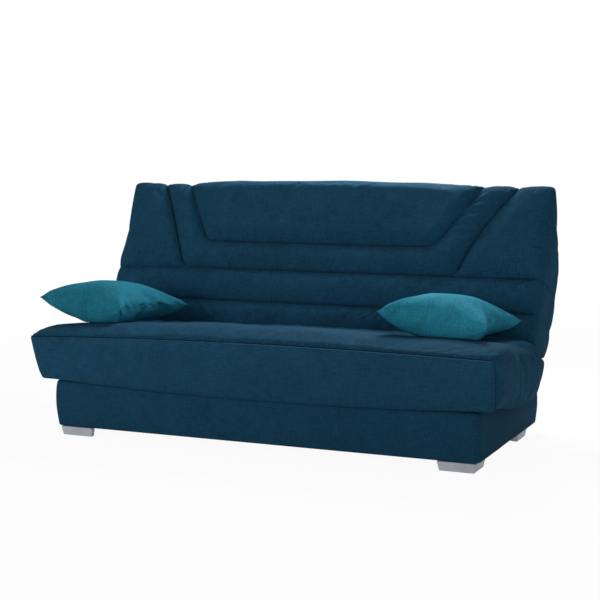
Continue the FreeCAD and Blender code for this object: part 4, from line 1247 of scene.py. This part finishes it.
def hang_lamps():
    """Soft square lamps, each facing its point."""
    for name, place, aim, size, power in LAMPS:
        lamp = bpy.data.lights.new(name, "AREA")
        lamp.shape = "SQUARE"
        lamp.size = size
        lamp.energy = power
        hung = bpy.data.objects.new(name, lamp)
        hung.location = place
        hung.rotation_euler = (Vector(aim) - Vector(place)).to_track_quat("-Z", "Y").to_euler()
        bpy.context.scene.collection.objects.link(hung)


def set_camera():
    """The camera, turned by its yaw, pitch and roll."""
    yaw, pitch, roll = (math.radians(angle) for angle in (CAMERA_YAW, CAMERA_PITCH, CAMERA_ROLL))
    ahead = Vector((-math.sin(yaw) * math.cos(pitch), math.cos(yaw) * math.cos(pitch), -math.sin(pitch)))
    right = Vector((math.cos(yaw), math.sin(yaw), 0))
    down = ahead.cross(right)
    across = math.cos(roll) * right + math.sin(roll) * down
    below = -math.sin(roll) * right + math.cos(roll) * down
    lens = bpy.data.cameras.new("studio_camera")
    lens.lens = CAMERA_LENS
    lens.sensor_width = 36
    lens.clip_end = 200
    camera = bpy.data.objects.new("studio_camera", lens)
    turn = Matrix((across, -below, -ahead)).transposed().to_4x4()
    camera.matrix_world = Matrix.Translation(CAMERA_PLACE) @ turn
    bpy.context.scene.collection.objects.link(camera)
    bpy.context.scene.camera = camera


def build_stage(colours):
    """A pale floor, a pale world, soft studio lamps and the camera."""
    bpy.context.scene.view_settings.view_transform = "Standard"
    lay_floor(colours.floor)
    light_world()
    hang_lamps()
    set_camera()


# ---------------------------------------------------------------- finishes of the frame's own parts

def painted(name, colour, rough, metal=0.0):
    """Paint or plating with a fine orange-peel relief and slightly uneven gloss."""
    f = Finish(name, Roughness=rough, Metallic=metal)
    where = f.place()
    fine = f.noise(where, 260.0, 2)
    broad = f.noise(where, 14.0, 3)
    base = f.mixed(f.fade(broad, 0.3, 0.7), shade(colour, 0.86), shade(colour, 1.1))
    gloss = f.fade(broad * 0.6 + fine * 0.4, 0.3, 0.7, rough * 0.85, min(1, rough * 1.2))
    return f.link(Base_Color=base, Roughness=gloss, Normal=f.bump(fine, 0.0002, 0.5))


def grained(name, pale, dark, rough, ring):
    """Wood with its grain along X."""
    f = Finish(name, Roughness=rough)
    scale = (ring * 0.05, ring, ring)
    where = f.stretched(f.place(), scale)
    band = f.noise(where, 1.0, 4, 0.6)
    pore = f.noise(f.stretched(f.place(), [v * 9 for v in scale]), 1.0, 2)
    tone = band * 0.75 + pore * 0.25
    base = f.mixed(f.fade(tone, 0.3, 0.7), dark, pale)
    return f.link(Base_Color=base, Roughness=f.fade(pore, 0.3, 0.7, rough * 0.9, rough * 1.15),
                  Normal=f.bump(tone, 0.0004, 0.5))


def beech_finish():
    """Beech with its grain along each slat, and every slat cut from another board."""
    f = Finish("beech_slats", Roughness=0.5)
    grain = f.node("ShaderNodeAttribute", {"attribute_name": "grain"}, out="Vector")
    board = f.node("ShaderNodeAttribute", {"attribute_name": "board"}, out="Fac")
    jump = f.node("ShaderNodeCombineXYZ", None, (board * 3.7, board * 1.3, board * 5.1))
    place = f.node("ShaderNodeVectorMath", {"operation": "ADD"}, (grain, jump))
    band = f.noise(f.stretched(place, (55.0, 2.4, 55.0)), 1.0, 4, 0.6)
    fleck = f.noise(f.stretched(place, (420.0, 45.0, 420.0)), 1.0, 2)
    tone = band * 0.7 + fleck * 0.3
    base = f.mixed(f.fade(tone, 0.3, 0.7), (0.40, 0.235, 0.115), (0.60, 0.41, 0.235))
    return f.link(Base_Color=base, Roughness=f.fade(fleck, 0.3, 0.7, 0.44, 0.6),
                  Normal=f.bump(tone, 0.0003, 0.4))


def fibrous(name, colour, rough=0.95, size=420.0, depth=0.0008):
    """Felt, foam or filling: a matt surface of fine cells."""
    f = Finish(name, Roughness=rough, Specular_IOR_Level=0.2)
    cells = f.noise(f.place(), size, 3, 0.7)
    patch = f.noise(f.place(), 12.0, 2)
    base = f.mixed(f.fade(cells * 0.7 + patch * 0.3, 0.3, 0.7),
                   shade(colour, 0.78), shade(colour, 1.12))
    return f.link(Base_Color=base, Normal=f.bump(cells, depth, 0.7))


NODE_SLOTS = {
    "zinc_hardware": ("bracket_screws", "link_base_pins", "link_top_pins", "fold_bolts", "foot_studs",
                      "back_ratchet_discs"),
    "mechanism_steel": ("bracket_left", "bracket_right", "front_link_left", "front_link_right",
                        "rear_link_left", "rear_link_right", "carriage_left", "carriage_right",
                        "seat_hinge_plates", "back_hinge_plates"),
    "frame_paint": ("carriage_tube", "seat_side_rails", "seat_cross_rails", "back_side_rails",
                    "back_cross_rails"),
    "black_plastic": ("seat_rail_caps", "back_rail_caps", "seat_slat_holders", "back_slat_holders"),
    "buffer_rubber": ("carriage_buffers",),
    "felt": ("rim_buffers",),
    "floor_board": ("base_floor",),
    "chest_board": ("base_front_board", "base_rear_board", "base_left_board", "base_right_board",
                    "base_corner_blocks"),
}


# ---------------------------------------------------------------- operators

def chosen_sizes():
    return bpy.context.scene.sofa_sizes


def chosen_colours():
    return bpy.context.scene.sofa_colours


def cloth(name, colour, **words):
    """A cloth material, made once."""
    return bpy.data.materials.get(name) or woven(name, tuple(colour), chosen_sizes().thread, **words)


def shaded_piping_finish():
    """Bias-cut strip of the seat's cloth, rolled over a cord, its colour painted darker than the cloth as
    painted shade along the seams.
    """
    ready = bpy.data.materials.get("petrol_piping_painted_shade")
    if ready:
        return ready
    f = Finish("petrol_piping_painted_shade", Roughness=0.95, IOR=1.06)
    fine = f.noise(f.place(), 700.0, 3)
    broad = f.noise(f.place(), 60.0, 2)
    colour = tuple(chosen_colours().mattress)
    # painted shade: the cord takes the cloth's colour at 35 to 65 percent, so each seam shows as a dark
    # shaded line
    base = f.mixed(f.fade(fine * 0.6 + broad * 0.4, 0.3, 0.7), shade(colour, 0.35), shade(colour, 0.65))
    return f.link(Base_Color=base, Normal=f.bump(fine, 0.0005, 0.6))


def thread_finish():
    """Waxed sewing thread a shade darker than the cloth, with its twist."""
    ready = bpy.data.materials.get("petrol_thread")
    if ready:
        return ready
    f = Finish("petrol_thread", Roughness=0.6)
    twist = f.noise(f.place(), 1400.0, 2)
    colour = tuple(chosen_colours().mattress)
    base = f.mixed(f.fade(twist, 0.3, 0.7), shade(colour, 0.55), shade(colour, 1.2))
    return f.link(Base_Color=base, Normal=f.bump(twist, 0.0003, 0.5))


class SOFA_OT_stage(bpy.types.Operator):
    """Sets up the floor, the lamps, the world and the camera"""

    bl_idname = "sofa.stage"
    bl_label = "Stage"

    def execute(self, context):
        build_stage(chosen_colours())
        return {"FINISHED"}


class SOFA_OT_chest(bpy.types.Operator):
    """Wraps the storage chest in padded cloth"""

    bl_idname = "sofa.chest"
    bl_label = "Chest cover"

    def execute(self, context):
        cover = build_chest(chosen_sizes())
        dress(cover, cloth("chest_cloth", chosen_colours().chest))
        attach(cover, "base")
        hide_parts("base_cover_front", "base_cover_rear", "base_cover_left", "base_cover_right")
        return {"FINISHED"}


class SOFA_OT_feet(bpy.types.Operator):
    """Makes the four corner feet"""

    bl_idname = "sofa.feet"
    bl_label = "Feet"

    def execute(self, context):
        finish = painted("foot_silver", tuple(chosen_colours().foot), 0.5, 0.12)
        for node in ("foot_front_left", "foot_front_right", "foot_rear_left", "foot_rear_right"):
            block = build_foot(node)
            dress(block, finish)
            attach(block, "base")
            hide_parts(node)
        return {"FINISHED"}


class SOFA_OT_seat(bpy.types.Operator):
    """Makes the seat cushion and its front panel"""

    bl_idname = "sofa.seat"
    bl_label = "Seat"

    def execute(self, context):
        finish = cloth("petrol_cloth", chosen_colours().mattress)
        cushion = build_seat(chosen_sizes())
        dress(cushion, finish)
        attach(cushion, "seat")
        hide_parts("seat_cover", "seat_mattress")
        panel, top_seam, end_seams = build_front_panel(chosen_sizes())
        dress(panel, finish)
        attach(panel, "seat")
        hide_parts("seat_front_panel")
        piping = roll_piping("seat_piping", [top_seam], 0.0020, shaded_piping_finish())
        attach(piping, "seat")
        # Painted shade: a dark cord along each end seam of the front panel stands in for the shadow in the
        # groove beside the panel's ends.
        end_shade_cord = roll_piping("seat_end_shade_cord", end_seams, 0.0030, shaded_piping_finish())
        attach(end_shade_cord, "seat")
        return {"FINISHED"}


class SOFA_OT_back(bpy.types.Operator):
    """Makes the quilted back cushion"""

    bl_idname = "sofa.back"
    bl_label = "Back"

    def execute(self, context):
        cushion, runs = build_back(chosen_sizes())
        dress(cushion, cloth("petrol_cloth", chosen_colours().mattress))
        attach(cushion, "back")
        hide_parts("back_cover", "back_mattress")
        lift = Vector((0, -math.sin(RAISED), math.cos(RAISED))) * 0.0006
        runs = [[Vector(place) + lift for place in run] for run in runs]
        stitches = sew_stitches("back_stitches", runs, 0.0055, thread_finish())
        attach(stitches, "back")
        return {"FINISHED"}


class SOFA_OT_bolster(bpy.types.Operator):
    """Makes the padding that bridges the fold between seat and back"""

    bl_idname = "sofa.bolster"
    bl_label = "Fold bolster"

    def execute(self, context):
        bolster = build_bolster()
        dress(bolster, cloth("petrol_cloth", chosen_colours().mattress))
        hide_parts("fold_gusset")
        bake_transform(bolster)
        return {"FINISHED"}


class SOFA_OT_pillows(bpy.types.Operator):
    """Makes the two knife-edge pillows"""

    bl_idname = "sofa.pillows"
    bl_label = "Pillows"

    def execute(self, context):
        # Painted light and shade: the left pillow's cloth is painted darker and the right one's lighter than
        # the pillow colour, for how the lamps fall on each pillow.
        for name, painted_brightness in (("pillow_left", 0.86), ("pillow_right", 1.16)):
            finish = cloth(f"{name}_cloth", shade(chosen_colours().pillow, painted_brightness), sheen=0.02, mottle=0.24)
            pillow = build_pillow(name, chosen_sizes(), bpy.data.objects["seat_cushion"])
            dress(pillow, finish)
            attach(pillow, name)
            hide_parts(name + "_cover", name + "_filling")
        return {"FINISHED"}


class SOFA_OT_slats(bpy.types.Operator):
    """Makes the sprung slats of the seat and the back"""

    bl_idname = "sofa.slats"
    bl_label = "Slats"

    def execute(self, context):
        finish = beech_finish()
        lowest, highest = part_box("seat_slats")
        thick = highest.z - lowest.z
        rise = (lowest.z + highest.z) / 2 - FOLD.z
        count = round((highest.x - lowest.x - SLAT_WIDTH) / SLAT_PITCH) + 1
        seat = grow_slats("seat_slat_row", count, SLAT_PITCH, highest.y - lowest.y, SLAT_WIDTH, thick,
                          SLAT_CAMBER, finish)
        seat.data.transform(Matrix.Translation((0, (lowest.y + highest.y) / 2, FOLD.z + rise)))
        back_low, back_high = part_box("back_slats")
        sine, cosine = math.sin(RAISED), math.cos(RAISED)
        start = (back_low.z - FOLD.z - (rise - thick / 2) * cosine) / sine
        end = (back_high.z - FOLD.z - (rise + thick / 2) * cosine) / sine
        back = grow_slats("back_slat_row", count, SLAT_PITCH, end - start, SLAT_WIDTH, thick,
                          SLAT_CAMBER, finish)
        back.data.transform(Matrix.Translation(FOLD) @ Matrix.Rotation(RAISED, 4, "X")
                            @ Matrix.Translation((0, (start + end) / 2, rise)))
        for slats, node, body in ((seat, "seat_slats", "seat"), (back, "back_slats", "back")):
            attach(slats, body)
            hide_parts(node)
        return {"FINISHED"}


class SOFA_OT_frame_finishes(bpy.types.Operator):
    """Gives the frames, boards and side mechanisms their finishes"""

    bl_idname = "sofa.frame_finishes"
    bl_label = "Frame finishes"

    def execute(self, context):
        finishes = {
            "zinc_hardware": painted("zinc_hardware", (0.55, 0.56, 0.58), 0.35, 0.95),
            "mechanism_steel": painted("mechanism_steel", (0.045, 0.047, 0.05), 0.45, 0.6),
            "frame_paint": painted("frame_paint", (0.030, 0.031, 0.033), 0.5, 0.2),
            "black_plastic": painted("black_plastic", (0.018, 0.018, 0.019), 0.55),
            "buffer_rubber": fibrous("buffer_rubber", (0.02, 0.02, 0.02), 0.8, 200.0, 0.0002),
            "felt": fibrous("felt", (0.10, 0.10, 0.11)),
            "floor_board": grained("floor_board", (0.42, 0.30, 0.18), (0.27, 0.18, 0.10), 0.7, 40),
            "chest_board": grained("chest_board", (0.46, 0.34, 0.21), (0.31, 0.21, 0.12), 0.75, 60),
        }
        for slot, nodes in NODE_SLOTS.items():
            for name in nodes:
                NODES[name].data.materials.clear()
                NODES[name].data.materials.append(finishes[slot])
        return {"FINISHED"}


OPERATORS = (
    SOFA_OT_stage, SOFA_OT_chest, SOFA_OT_feet, SOFA_OT_seat, SOFA_OT_back, SOFA_OT_bolster,
    SOFA_OT_pillows, SOFA_OT_slats, SOFA_OT_frame_finishes,
)


class SOFA_PT_panel(bpy.types.Panel):
    """Lists the steps that build the sofa bed"""

    bl_idname = "SOFA_PT_panel"
    bl_label = "Sofa bed"
    bl_space_type = "VIEW_3D"
    bl_region_type = "UI"
    bl_category = "Sofa bed"

    def draw(self, context):
        for group in (context.scene.sofa_sizes, context.scene.sofa_colours):
            for key in type(group).__annotations__:
                self.layout.prop(group, key)
        for operator in OPERATORS:
            self.layout.operator(operator.bl_idname)


CLASSES = (SofaSizes, SofaColours, *OPERATORS, SOFA_PT_panel)


def register():
    for item in CLASSES:
        bpy.utils.register_class(item)
    bpy.types.Scene.sofa_sizes = bpy.props.PointerProperty(type=SofaSizes)
    bpy.types.Scene.sofa_colours = bpy.props.PointerProperty(type=SofaColours)


def unregister():
    del bpy.types.Scene.sofa_colours
    del bpy.types.Scene.sofa_sizes
    for item in reversed(CLASSES):
        bpy.utils.unregister_class(item)


def main():
    register()
    for operator in OPERATORS:
        group, action = operator.bl_idname.split(".")
        getattr(getattr(bpy.ops, group), action)()


if __name__ == "__main__":
    main()
